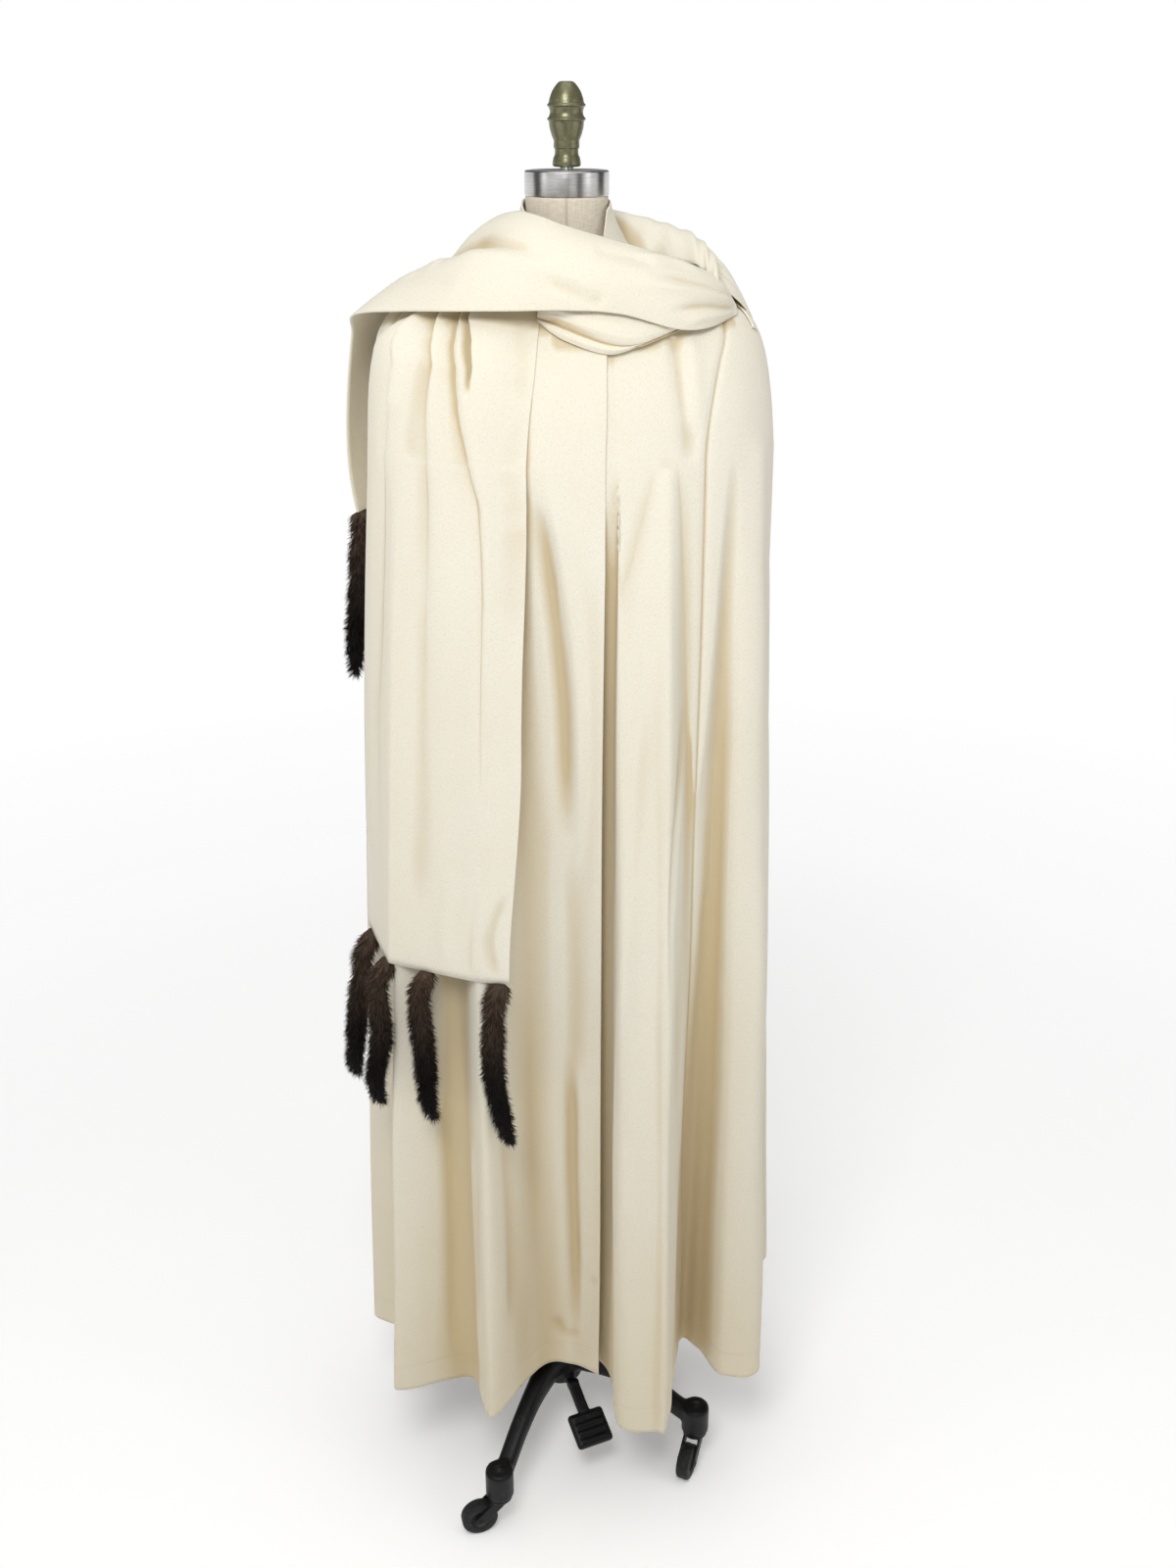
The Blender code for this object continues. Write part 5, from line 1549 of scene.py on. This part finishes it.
def fall_grid():
    """Shares and drops of the front fall's points, in columns that follow the sides of its pleats."""
    drops = np.linspace(FRONT_FALL[0][0], FRONT_FALL[-1][0], FALL_ROWS)[:, None]
    end = np.ones_like(drops)
    bounds = [0.0 * end, *pleat_rows(drops)[:len(FALL_COLUMNS) - 1], end]
    shares = [lerp(low, high, np.linspace(0.0, 1.0, count, endpoint=False))
              for low, high, count in zip(bounds, bounds[1:], FALL_COLUMNS)]
    shares = np.concatenate([*shares, end], axis=1)
    return shares, drops + 0.0 * shares


def front_fall_points():
    shares, drops = fall_grid()
    return creased(front_fall_point(shares, drops), shares, drops[:, 0], FALL_CREASES)


def band_points():
    band = strip(outer_wrap_edges, 0, SHOULDER_ROW, *BAND_STEPS)
    down, along = band.shape[:2]
    return creased(band, np.linspace(0.0, SHOULDER_ROW, along), np.linspace(0.0, 1.0, down), BAND_CREASES)


def under_drape_points():
    places = np.linspace(len(UNDER_DRAPE) - 1, 0.0, ROLL_COLUMNS)
    turn, top, bottom, meet, full = np.moveaxis(flow(UNDER_DRAPE, places), -1, 0)
    meet = np.minimum(meet, LAST_MEET)
    first, second = (np.linspace(0.0, 1.0, count)[:, None] for count in ROLL_ROWS)
    share = np.concatenate([first * meet, lerp(meet, 1.0, second)])
    height = np.concatenate([read(FIRST_ROLL, first), read(SECOND_ROLL, second)])[..., 0]
    return on_yoke(turn + 0.0 * share, lerp(top, bottom, share), height * full)


def collar_points():
    down, along = COLLAR_MESH
    rows = flow(COLLAR, np.linspace(0.0, len(COLLAR) - 1, along))
    top_turn, top_radius, top_z, low_turn, low_radius, low_z = np.moveaxis(rows, -1, 0)
    share = np.linspace(0.0, 1.0, down)[:, None]
    radius = lerp(top_radius, low_radius, share ** COLLAR_FLARE)
    points = heading(lerp(top_turn, low_turn, share)) * radius[..., None]
    points[..., 2] = lerp(top_z, low_z, share)
    return points


def tab_points():
    down, along = TAB_MESH
    rows = flow(TAB, np.linspace(0.0, len(TAB) - 1, down))
    front_turn, front_drop, back_turn, back_drop = np.moveaxis(rows[:, None], -1, 0)
    across = np.linspace(0.0, 1.0, along)
    turns = lerp(back_turn, front_turn, across)
    lift = np.full(turns.shape, settings().cloth.scarf_wall + TAB_SEAT)
    return on_yoke(turns, lerp(back_drop, front_drop, across), lift)


def cloth_grids():
    """Outer face of every cloth piece as rows of points, made once."""
    if not CLOTH_GRIDS:
        for piece, _, left, right, *_ in PANELS:
            CLOTH_GRIDS[piece] = panel_points(left, right)
        CLOTH_GRIDS["front_fall_cloth"] = front_fall_points()
        CLOTH_GRIDS["chest_band_cloth"] = band_points()
        last = len(OUTER_WRAP) - 1
        CLOTH_GRIDS["back_fall_cloth"] = strip(outer_wrap_edges, SHOULDER_ROW, last, *BACK_FALL_STEPS)
        CLOTH_GRIDS["neck_wrap_cloth"] = neck_points()
        CLOTH_GRIDS["under_fold_cloth"] = under_drape_points()
        CLOTH_GRIDS["collar_cloth"] = collar_points()
        CLOTH_GRIDS["slot_tab_cloth"] = tab_points()
    return CLOTH_GRIDS


def drop_at(height):
    """Drop of a height below the break."""
    return 1.0 + (BREAK_Z - height) / (BREAK_Z - HEM_Z)


def tail_path(root, row, share):
    """Middle line of a tail that hangs from a root, clear of the cape's folds, at shares of its length."""
    _, length, sway_middle, sway_tip, stand_out = row
    radius = np.interp(share, *np.transpose(TAIL_PROFILE))
    reach = np.hypot(root[0], root[1])
    turn = np.degrees(np.arctan2(-root[0], -root[1]))
    sway = sway_middle * np.sin(np.pi * share) + sway_tip * share ** 2
    turns = turn - np.degrees(sway / reach)
    height = root[2] - length * share
    clear = on_wrap(turns[:, None], drop_at(height)[:, None], (radius + TAIL_CLEAR)[:, None])[:, 0]
    out = np.maximum(np.linalg.norm(clear[:, :2], axis=-1), reach)
    middle = heading(turns) * (lerp(reach, out, smooth(share / TAIL_TURN_OUT)) + stand_out * share)[:, None]
    middle[:, 2] = height
    return middle


def tail_roots():
    """Name and root of each tail, under the scarf's two ends."""
    half_wall = settings().cloth.scarf_wall / 2
    places = np.linspace(0.0, 1.0, END_STEPS + 1)[None, :]
    front = front_fall_point(places, np.full_like(places, FRONT_FALL[-1][0]))[0]
    last = len(OUTER_WRAP) - 1
    back = strip(outer_wrap_edges, last - 1, last, 2, END_STEPS)[:, -1]
    for side, edge, rows in (("front", front, FRONT_TAILS), ("back", back, BACK_TAILS)):
        for number, row in enumerate(rows, 1):
            spot = np.array([np.interp(row[0], places[0], edge[:, axis]) for axis in range(3)])
            inward = unit(spot * (1.0, 1.0, 0.0)) * half_wall
            yield f"tail_{side}_{number}", spot - inward - (0.0, 0.0, SEAM_GAP), row


def hair_blade():
    """One hair as a narrow bent blade along +Z, one metre long, with its share of length kept."""
    width = settings().fur.width / settings().fur.length
    points, faces, tips = [], [], []
    for share, wide, bend in HAIR_BLADE[:-1]:
        points += [(-wide * width / 2, bend, share), (wide * width / 2, bend, share)]
        tips += [share, share]
    points.append((0.0, HAIR_BLADE[-1][2], 1.0))
    tips.append(1.0)
    for k in range(0, len(points) - 3, 2):
        faces.append((k, k + 1, k + 3, k + 2))
    faces.append((len(points) - 3, len(points) - 2, len(points) - 1))
    mesh = mesh_from("hair_blade", points, faces)
    add_value(mesh, "tip", tips)
    return link("hair_blade", mesh)


def tail_skin(name, root, row, number):
    """Skin of a tail, with the lie of its hair and the share of its length on each point."""
    share = np.linspace(0.0, 1.0, TAIL_RINGS)
    middle = tail_path(root, row, share)
    waves, reach, by_tail, by_axis = FUR_KINKS
    for axis in (0, 1):
        swing = np.sin(2 * np.pi * (waves * share + by_tail * number + by_axis * axis))
        middle[:, axis] += reach * np.sin(np.pi * share) * swing
    waves, reach, by_tail = FUR_BULGES
    radius = np.interp(share, *np.transpose(FUR_PROFILE))
    radius *= 1.0 + reach * np.sin(2 * np.pi * (waves * share + by_tail * number))
    radius *= lerp(*SKIN_SHARE, smooth(share / SKIN_NARROWS))
    around = heading(all_round(TAIL_SIDES))
    rings = middle[:, None] + around[None] * radius[:, None, None]
    mesh = mesh_from(name, *loft(rings))
    mesh.shade_smooth()
    down = unit(np.gradient(middle, axis=0))
    lie = unit(down[:, None] + around[None] * HAIR_LEAN)
    mesh.attributes.new("lie", "FLOAT_VECTOR", "POINT").data.foreach_set("vector", lie.ravel())
    add_value(mesh, "along", np.repeat(share, TAIL_SIDES))
    return link(name, mesh)


def fur_tree():
    """Nodes that set hairs on a skin along its lie."""
    tree = bpy.data.node_groups.new("Fur", "GeometryNodeTree")
    face = tree.interface
    face.new_socket("Skin", in_out="INPUT", socket_type="NodeSocketGeometry")
    for name, kind in (("Blade", "Object"), ("Density", "Float"), ("Length", "Float"), ("Spread", "Float"),
                       ("Seed", "Int"), ("Finish", "Material")):
        face.new_socket(name, in_out="INPUT", socket_type=f"NodeSocket{kind}")
    face.new_socket("Tail", in_out="OUTPUT", socket_type="NodeSocketGeometry")
    begin = tree.nodes.new("NodeGroupInput")
    given = {socket.name: Socket(tree, socket) for socket in begin.outputs}
    skin, seed = given["Skin"], given["Seed"]
    spots = skin.node("GeometryNodeDistributePointsOnFaces", None,
                      {"Mesh": skin, "Density": given["Density"], "Seed": seed})
    lie = skin.node("GeometryNodeInputNamedAttribute", {"data_type": "FLOAT_VECTOR"}, {"Name": "lie"})
    stray = skin.node("FunctionNodeRandomValue", {"data_type": "FLOAT_VECTOR"},
                      {0: (-1.0, -1.0, -1.0), 1: (1.0, 1.0, 1.0), "Seed": seed})
    swing = skin.node("ShaderNodeVectorMath", {"operation": "SCALE"},
                      {0: stray, "Scale": given["Spread"]})
    aim = skin.node("ShaderNodeVectorMath", {"operation": "ADD"}, {0: lie, 1: swing})
    turn = skin.node("FunctionNodeAlignRotationToVector", {"axis": "Z"}, {"Vector": aim})
    roll = skin.node("FunctionNodeAlignRotationToVector", {"axis": "X", "pivot_axis": "Z"},
                     {"Rotation": turn, "Vector": stray})
    shortest, longest = HAIR_LENGTHS
    vary = skin.node("FunctionNodeRandomValue", {"data_type": "FLOAT"},
                     {2: shortest, 3: longest, "Seed": seed})
    size = given["Length"] * vary
    blade = skin.node("GeometryNodeObjectInfo", None, {"Object": given["Blade"]}, output="Geometry")
    hairs = skin.node("GeometryNodeInstanceOnPoints", None,
                      {"Points": spots, "Instance": blade, "Rotation": roll, "Scale": size})
    tone = skin.node("FunctionNodeRandomValue", {"data_type": "FLOAT"}, {2: 0.0, 3: 1.0, "Seed": seed}, 1)
    toned = skin.node("GeometryNodeStoreNamedAttribute", {"data_type": "FLOAT", "domain": "INSTANCE"},
                      {"Geometry": hairs, "Name": "tone", "Value": tone})
    real = skin.node("GeometryNodeRealizeInstances", None, {"Geometry": toned})
    whole = skin.node("GeometryNodeJoinGeometry", None, {"Geometry": real})
    tree.links.new(skin.output, whole.output.node.inputs["Geometry"])
    done = skin.node("GeometryNodeSetMaterial", None, {"Geometry": whole, "Material": given["Finish"]})
    end = tree.nodes.new("NodeGroupOutput")
    tree.links.new(done.output, end.inputs["Tail"])
    return tree


def grow_fur(item, tree, blade, number):
    """Grow hair on a tail's skin and keep the result as a plain mesh."""
    fur = settings().fur
    grow = item.modifiers.new("Fur", "NODES")
    grow.node_group = tree
    values = {"Blade": blade, "Density": fur.density, "Length": fur.length, "Spread": fur.spread,
              "Seed": fur.seed + number, "Finish": finish_of("fur")}
    for socket in tree.interface.items_tree:
        if socket.in_out == "INPUT" and socket.name in values:
            grow[socket.identifier] = values[socket.name]
    settle(item)
    item.data.shade_smooth()


class CAPE_OT_tails(bpy.types.Operator):
    """Hang the fur tails from both ends of the scarf"""
    bl_idname = "cape_stand.tails"
    bl_label = "Fur tails"

    def execute(self, context):
        tree = fur_tree()
        blade = hair_blade()
        for number, (node, root, row) in enumerate(tail_roots()):
            item = tail_skin(node.replace("tail", "fur_tail"), root, row, number)
            grow_fur(item, tree, blade, number)
            dress(item, "form", node)
        bpy.data.objects.remove(blade, do_unlink=True)
        return {"FINISHED"}


def both_sides(section):
    """Sections with one half width given for both sides."""
    section = np.asarray(section, dtype=float)
    return np.concatenate([section[..., :2], section[..., 1:]], axis=-1)


def form_rings():
    """Rings of the form from the neck down, and the turns of their points."""
    turns = all_round(settings().form.columns)
    neck_rows, seated_rows, torso_rows = FORM_ROWS
    neck = [(height, wide, wide, deep, deep, 2.0) for height, wide, deep in NECK]
    rings = [oval(turns, section) for section in flow(neck, np.linspace(0.0, len(NECK) - 1, neck_rows))]
    inset = -(settings().cloth.cape_wall + SEAT_GAP)
    for drop in np.linspace(0.0, SEATED_DROP, seated_rows):
        rings.append(on_yoke(turns, np.full(len(turns), drop), np.full(len(turns), inset)))
    for section in flow(TORSO, np.linspace(0.0, len(TORSO) - 1, torso_rows)):
        rings.append(oval(turns, both_sides(section)))
    return np.array(rings), turns


class CAPE_OT_form(bpy.types.Operator):
    """Build the dress form with its neck plate, stud and finial"""
    bl_idname = "cape_stand.form"
    bl_label = "Dress form"

    def execute(self, context):
        rings, turns = form_rings()
        mesh = mesh_from("form_cover", *loft(rings))
        girth = np.repeat(np.radians(turns)[None] * COVER_RADIUS, len(rings), axis=0)
        add_weave_map(mesh, girth, run_lengths(rings, 0))
        beside = np.abs((turns + 90.0) % 180.0 - 90.0)
        add_value(mesh, "seam", np.repeat(np.exp(-(beside / COVER_SEAM) ** 2)[None], len(rings), axis=0))
        mesh.shade_smooth()
        mesh.materials.append(finish_of("linen"))
        dress(link("form_cover", mesh), "form", "form_torso")
        top = CAP_BOTTOM + CAP_HEIGHT
        plate = [(top, CAP_MIDDLE), (top, CAP_RADIUS - 3 * CAP_EDGE),
                 (top - CAP_EDGE / 5, CAP_RADIUS - CAP_EDGE), (top - CAP_EDGE, CAP_RADIUS),
                 (CAP_BOTTOM + CAP_EDGE, CAP_RADIUS), (CAP_BOTTOM, CAP_RADIUS - CAP_EDGE / 2)]
        solid_piece("neck_plate", turned(plate, SIDES["plate"]), "form", "steel", "form_neck_cap")
        foot = top + SEAM_GAP
        head = foot + STUD_HEIGHT
        stud = [(head, STUD_RADIUS), (foot, STUD_RADIUS)]
        solid_piece("finial_stud", turned(stud, SIDES["stud"]), "form", "steel", "form_stud")
        seat = head + SEAM_GAP - FINIAL_SINK
        profile = [(seat + height, max(radius, FINIAL_POINT)) for height, radius in FINIAL]
        finial = turned(flow(profile, np.linspace(0.0, len(profile) - 1, FINIAL_ROWS)), SIDES["finial"])
        solid_piece("turned_finial", finial, "form", "finial_paint", "form_finial", sharp=50.0)
        return {"FINISHED"}


def stand_place(x=0.0, y=0.0, z=0.0):
    return Matrix.Translation((STAND[0] + x, STAND[1] + y, z))


def tube(outer, inner, bottom, top, sides):
    """Points and faces of an open tube about Z."""
    rings = turned_rings([(top, inner), (top, outer), (bottom, outer), (bottom, inner)], sides)
    faces = grid_faces(len(rings), sides, closed=True)
    last = (len(rings) - 1) * sides
    for k in range(sides):
        after = (k + 1) % sides
        faces.append([last + k, last + after, after, k])
    return rings.reshape(-1, 3), faces


def leg_shape(turn):
    """Arched leg of rounded sections from the hub out to its socket."""
    along = heading(turn)
    side = np.array([-along[1], along[0], 0.0])
    up = np.array([0.0, 0.0, 1.0])
    angle = np.linspace(0.0, 2 * np.pi, LEG_SIDES, endpoint=False)
    across, high = (np.sign(wave) * np.abs(wave) ** LEG_POWER / 2 for wave in (np.cos(angle), np.sin(angle)))
    rings = []
    for radius, height, width, depth in flow(LEG, np.linspace(0.0, len(LEG) - 1, LEG_ROWS)):
        section = side * (across * width)[:, None] + up * (height + high * depth)[:, None]
        rings.append(along * radius + section)
    return loft(rings[::-1])


def leg_turn(number):
    return FRONT_LEG_TURN - 360.0 / LEG_COUNT * (number - 1)


def leg_end(number):
    """Axis of a leg's caster, from the post."""
    return heading(leg_turn(number)) * LEG[-1][0]


def base_shape():
    """Hub, pedal boss, legs and caster sockets of the base, about the post."""
    hub = [(HUB_TOP, HUB_MIDDLE), (HUB_TOP, HUB_RADIUS - HUB_EDGE), (HUB_TOP - HUB_EDGE, HUB_RADIUS),
           (HUB_BOTTOM + HUB_EDGE, HUB_RADIUS), (HUB_BOTTOM, HUB_RADIUS - HUB_EDGE)]
    shapes = [turned(hub, SIDES["hub"])]
    facing = Vector(heading(PEDAL_TURN))
    boss_end = PEDAL_PIVOT[0] - PEDAL_ARM[1] / 2 - PEDAL_PLAY
    boss_at = Matrix.Translation(facing * (boss_end / 2) + Vector((0.0, 0.0, PEDAL_PIVOT[1])))
    boss_turn = Matrix.Rotation(math.atan2(facing.y, facing.x), 4, "Z")
    shapes.append(moved(block((boss_end, *PEDAL_ARM), ARM_ROUNDING), boss_at @ boss_turn))
    inwards, down = SOCKET_EDGE
    socket = [(SOCKET_TOP, SOCKET_RADIUS - inwards), (SOCKET_TOP - down, SOCKET_RADIUS),
              (SOCKET_BOTTOM, SOCKET_RADIUS)]
    nub = [(SOCKET_TOP + NUB_HEIGHT, NUB_RADIUS * NUB_TAPER), (SOCKET_TOP + NUB_HEIGHT / 2, NUB_RADIUS),
           (SOCKET_TOP - NUB_HEIGHT, NUB_RADIUS)]
    for number in range(1, LEG_COUNT + 1):
        end = Matrix.Translation(leg_end(number))
        shapes.append(leg_shape(leg_turn(number)))
        shapes.append(moved(turned(socket, SIDES["socket"]), end))
        shapes.append(moved(turned(nub, SIDES["nub"]), end))
    return joined(shapes)


def pedal_shape():
    """Pedal about its hinge, reaching along +X: pad with ribs, arm and knuckle."""
    reach, height = PEDAL_PIVOT
    pad_at = Vector((PEDAL_PAD_REACH - reach, 0.0, PEDAL_PAD_Z - height))
    tilt = Matrix.Rotation(math.atan2(-pad_at.z, pad_at.x), 4, "Y")
    wide, deep = PEDAL_ARM
    pad = Matrix.Translation(pad_at) @ tilt
    shapes = [moved(block(PEDAL_PAD, PAD_ROUNDING), pad)]
    arm = block((pad_at.length, wide, deep * ARM_SLIMNESS), ARM_ROUNDING)
    shapes.append(moved(arm, tilt @ Matrix.Translation((pad_at.length / 2, 0.0, 0.0))))
    knuckle = turned([(wide / 2, deep / 2), (-wide / 2, deep / 2)], SIDES["knuckle"])
    shapes.append(moved(knuckle, Matrix.Rotation(math.pi / 2, 4, "X")))
    for along in np.linspace(-PEDAL_RIB_SPAN, PEDAL_RIB_SPAN, PEDAL_RIBS) * PEDAL_PAD[0]:
        rib = pad @ Matrix.Translation((along, 0.0, PEDAL_PAD[2] / 2))
        shapes.append(moved(block(PEDAL_RIB, RIB_ROUNDING), rib))
    return joined(shapes)


class CAPE_OT_stand(bpy.types.Operator):
    """Cast the base and pedal and set the post in its sleeve"""
    bl_idname = "cape_stand.stand"
    bl_label = "Stand"

    def execute(self, context):
        grain = settings().stand.grain
        base = moved(base_shape(), stand_place())
        cast_piece("cast_base", base, "stand", "stand_base", grain, SOFTENING["base"])
        facing = heading(PEDAL_TURN)
        hinge = stand_place(*(facing[:2] * PEDAL_PIVOT[0]), PEDAL_PIVOT[1])
        hinge = hinge @ Matrix.Rotation(math.atan2(facing[1], facing[0]), 4, "Z")
        pedal = moved(pedal_shape(), hinge)
        cast_piece("foot_pedal", pedal, "pedal", "stand_pedal", grain / 2, SOFTENING["pedal"])
        bottom = HUB_TOP + SEAM_GAP
        sleeve = tube(SLEEVE_OUTER, SLEEVE_BORE, bottom, SLEEVE_TOP, SIDES["sleeve"])
        solid_piece("post_sleeve", moved(sleeve, stand_place()), "stand", "steel", "stand_sleeve")
        top = TORSO[-1][0] - SEAM_GAP
        post = turned([(top, POLE_RADIUS), (bottom, POLE_RADIUS)], SIDES["post"])
        solid_piece("post", moved(post, stand_place()), "form", "steel", "form_pole")
        return {"FINISHED"}


def fork_shape():
    """Caster fork about its swivel axis, trailing towards +X: a crown and two cheeks."""
    top = SOCKET_BOTTOM - SEAM_GAP
    bottom = top - CROWN_HEIGHT
    crown = [(top, CROWN_RADIUS - CROWN_TOP_EDGE[0]), (top - CROWN_TOP_EDGE[1], CROWN_RADIUS),
             (bottom + CROWN_LOW_EDGE[1], CROWN_RADIUS), (bottom, CROWN_RADIUS - CROWN_LOW_EDGE[0])]
    shapes = [turned(crown, SIDES["crown"])]
    shoulder = bottom + CROWN_HEIGHT / 2
    outline = [(-CHEEK_TOP, shoulder), (CHEEK_TOP, shoulder)]
    for angle in np.radians(np.linspace(*CHEEK_ARC)):
        outline.append((TRAIL + CHEEK_RADIUS * math.cos(angle),
                        WHEEL_RADIUS + CHEEK_RADIUS * math.sin(angle)))
    inner = WHEEL_WIDTH / 2 + FORK_PLAY
    for near, far in ((inner, inner + FORK_WALL), (-inner - FORK_WALL, -inner)):
        rings = [[(x, y, z) for x, z in outline] for y in (near, far)]
        shapes.append(loft(rings))
        cap = far if near > 0 else near
        face = Matrix.Rotation(-math.pi / 2 if near > 0 else math.pi / 2, 4, "X")
        axle = Matrix.Translation((TRAIL, cap, WHEEL_RADIUS))
        shapes.append(moved(turned(BOLT, SIDES["bolt"]), axle @ face))
    return joined(shapes)


def wheel_shape():
    """Wheel about its axle at the origin, the axle along Y."""
    half = WHEEL_WIDTH / 2
    profile = [(half - depth, share * WHEEL_RADIUS) for depth, share in WHEEL_SIDE]
    profile.append((half, WHEEL_RADIUS - WHEEL_ROUNDING))
    for angle in np.radians(WHEEL_ANGLES):
        profile.append((half - WHEEL_ROUNDING * (1.0 - math.cos(angle)),
                        WHEEL_RADIUS - WHEEL_ROUNDING * (1.0 - math.sin(angle))))
    groove_top, groove_bottom, depth = WHEEL_GROOVE
    profile += [(groove_top, WHEEL_RADIUS), (groove_bottom, WHEEL_RADIUS - depth)]
    profile += [(-height, radius) for height, radius in reversed(profile)]
    return moved(turned(profile, SIDES["wheel"]), Matrix.Rotation(math.pi / 2, 4, "X"))


class CAPE_OT_casters(bpy.types.Operator):
    """Set the four swivel casters in their sockets"""
    bl_idname = "cape_stand.casters"
    bl_label = "Casters"

    def execute(self, context):
        grain = settings().stand.grain
        for number, trail in enumerate(CASTER_TRAIL, 1):
            swivel = stand_place(*leg_end(number)) @ Matrix.Rotation(math.radians(trail), 4, "Z")
            cast_piece(f"fork_{number}", moved(fork_shape(), swivel), f"caster_{number}",
                       f"caster_fork_{number}", grain / 2, SOFTENING["fork"])
            axle = swivel @ Matrix.Translation((TRAIL, 0.0, WHEEL_RADIUS))
            solid_piece(f"wheel_tread_{number}", moved(wheel_shape(), axle), f"wheel_{number}", "rubber",
                        f"caster_wheel_{number}", sharp=35.0)
        return {"FINISHED"}


def dark_card(name, turn, width):
    """Upright dark card that gives polished metal something to reflect."""
    side = heading(turn + 90.0) * width / 2
    middle = heading(turn) * CARD_DISTANCE
    low, high = (np.array([0.0, 0.0, height]) for height in CARD_HEIGHTS)
    corners = [middle - side + low, middle + side + low, middle + side + high, middle - side + high]
    mesh = mesh_from(name, corners, [(0, 1, 2, 3)])
    mesh.materials.append(finish_of("rubber"))
    card = link(name, mesh)
    for ray in ("camera", "diffuse", "transmission", "shadow", "volume_scatter"):
        setattr(card, f"visible_{ray}", False)


def aimed(item, place, target):
    """Put a light at a place, facing a target."""
    item.location = place
    item.rotation_euler = (Vector(target) - Vector(place)).to_track_quat("-Z", "Y").to_euler()


class CAPE_OT_stage(bpy.types.Operator):
    """Lay the floor and set the lights and the camera"""
    bl_idname = "cape_stand.stage"
    bl_label = "Stage"

    def execute(self, context):
        stage = settings().stage
        scene = context.scene
        shape = bmesh.new()
        bmesh.ops.create_circle(shape, cap_ends=True, segments=FLOOR_SIDES, radius=FLOOR_RADIUS)
        mesh = bpy.data.meshes.new("studio_floor")
        shape.to_mesh(mesh)
        shape.free()
        mesh.materials.append(floor_finish())
        link("studio_floor", mesh)
        for number, (turn, width) in enumerate(CARDS, 1):
            dark_card(f"dark_card_{number}", turn, width)
        world = bpy.data.worlds.new("Studio")
        world.use_nodes = True
        scene.world = world
        sky = Socket(world.node_tree)
        ray = sky.node("ShaderNodeTexCoord")
        split = sky.node("ShaderNodeSeparateXYZ", None, {0: ray}, 2)
        shade = split.ramp((0.0, stage.backdrop), (0.05, stage.backdrop), (0.15, SKY_FILL), (0.80, SKY_FILL),
                           (0.93, stage.ceiling))
        backdrop = world.node_tree.nodes["Background"]
        world.node_tree.links.new(shade.output, backdrop.inputs["Color"])
        for power, name, place, target, wide, high in LIGHTS:
            light = bpy.data.lights.new(name, "AREA")
            light.shape = "RECTANGLE"
            light.size = wide
            light.size_y = high
            light.energy = getattr(stage, power)
            lamp = link(name, light)
            lamp.visible_camera = False
            aimed(lamp, place, target)
        camera = bpy.data.cameras.new("Camera")
        camera.lens = stage.lens
        camera.sensor_width = SENSOR_WIDTH
        view = link("Camera", camera)
        view.location = stage.camera
        view.rotation_euler = (math.pi / 2 - stage.tilt, 0.0, 0.0)
        scene.camera = view
        scene.view_settings.view_transform = "Standard"
        return {"FINISHED"}


class CAPE_PT_sidebar(bpy.types.Panel):
    """Steps and sizes of the cape on its form"""
    bl_idname = "CAPE_PT_sidebar"
    bl_label = "Cape on a dress form"
    bl_space_type = "VIEW_3D"
    bl_region_type = "UI"
    bl_category = "Cape"

    def draw(self, context):
        for step in OPERATORS:
            self.layout.operator(step.bl_idname)
        for group in ("cloth", "fur", "form", "stand", "stage"):
            box = self.layout.box()
            values = getattr(context.scene.cape_stand, group)
            for name in values.__annotations__:
                box.prop(values, name)


SETTINGS = (ClothSettings, FurSettings, FormSettings, StandSettings, StageSettings, CapeStandSettings)
OPERATORS = (CAPE_OT_panels, CAPE_OT_scarf, CAPE_OT_collar, CAPE_OT_tails, CAPE_OT_form, CAPE_OT_stand,
             CAPE_OT_casters, CAPE_OT_stage)


def register():
    for part in (*SETTINGS, *OPERATORS, CAPE_PT_sidebar):
        bpy.utils.register_class(part)
    bpy.types.Scene.cape_stand = PointerProperty(type=CapeStandSettings)


def unregister():
    del bpy.types.Scene.cape_stand
    for part in reversed((*SETTINGS, *OPERATORS, CAPE_PT_sidebar)):
        bpy.utils.unregister_class(part)


def main():
    register()
    for step in OPERATORS:
        group, name = step.bl_idname.split(".")
        getattr(getattr(bpy.ops, group), name)()


if __name__ == "__main__":
    main()
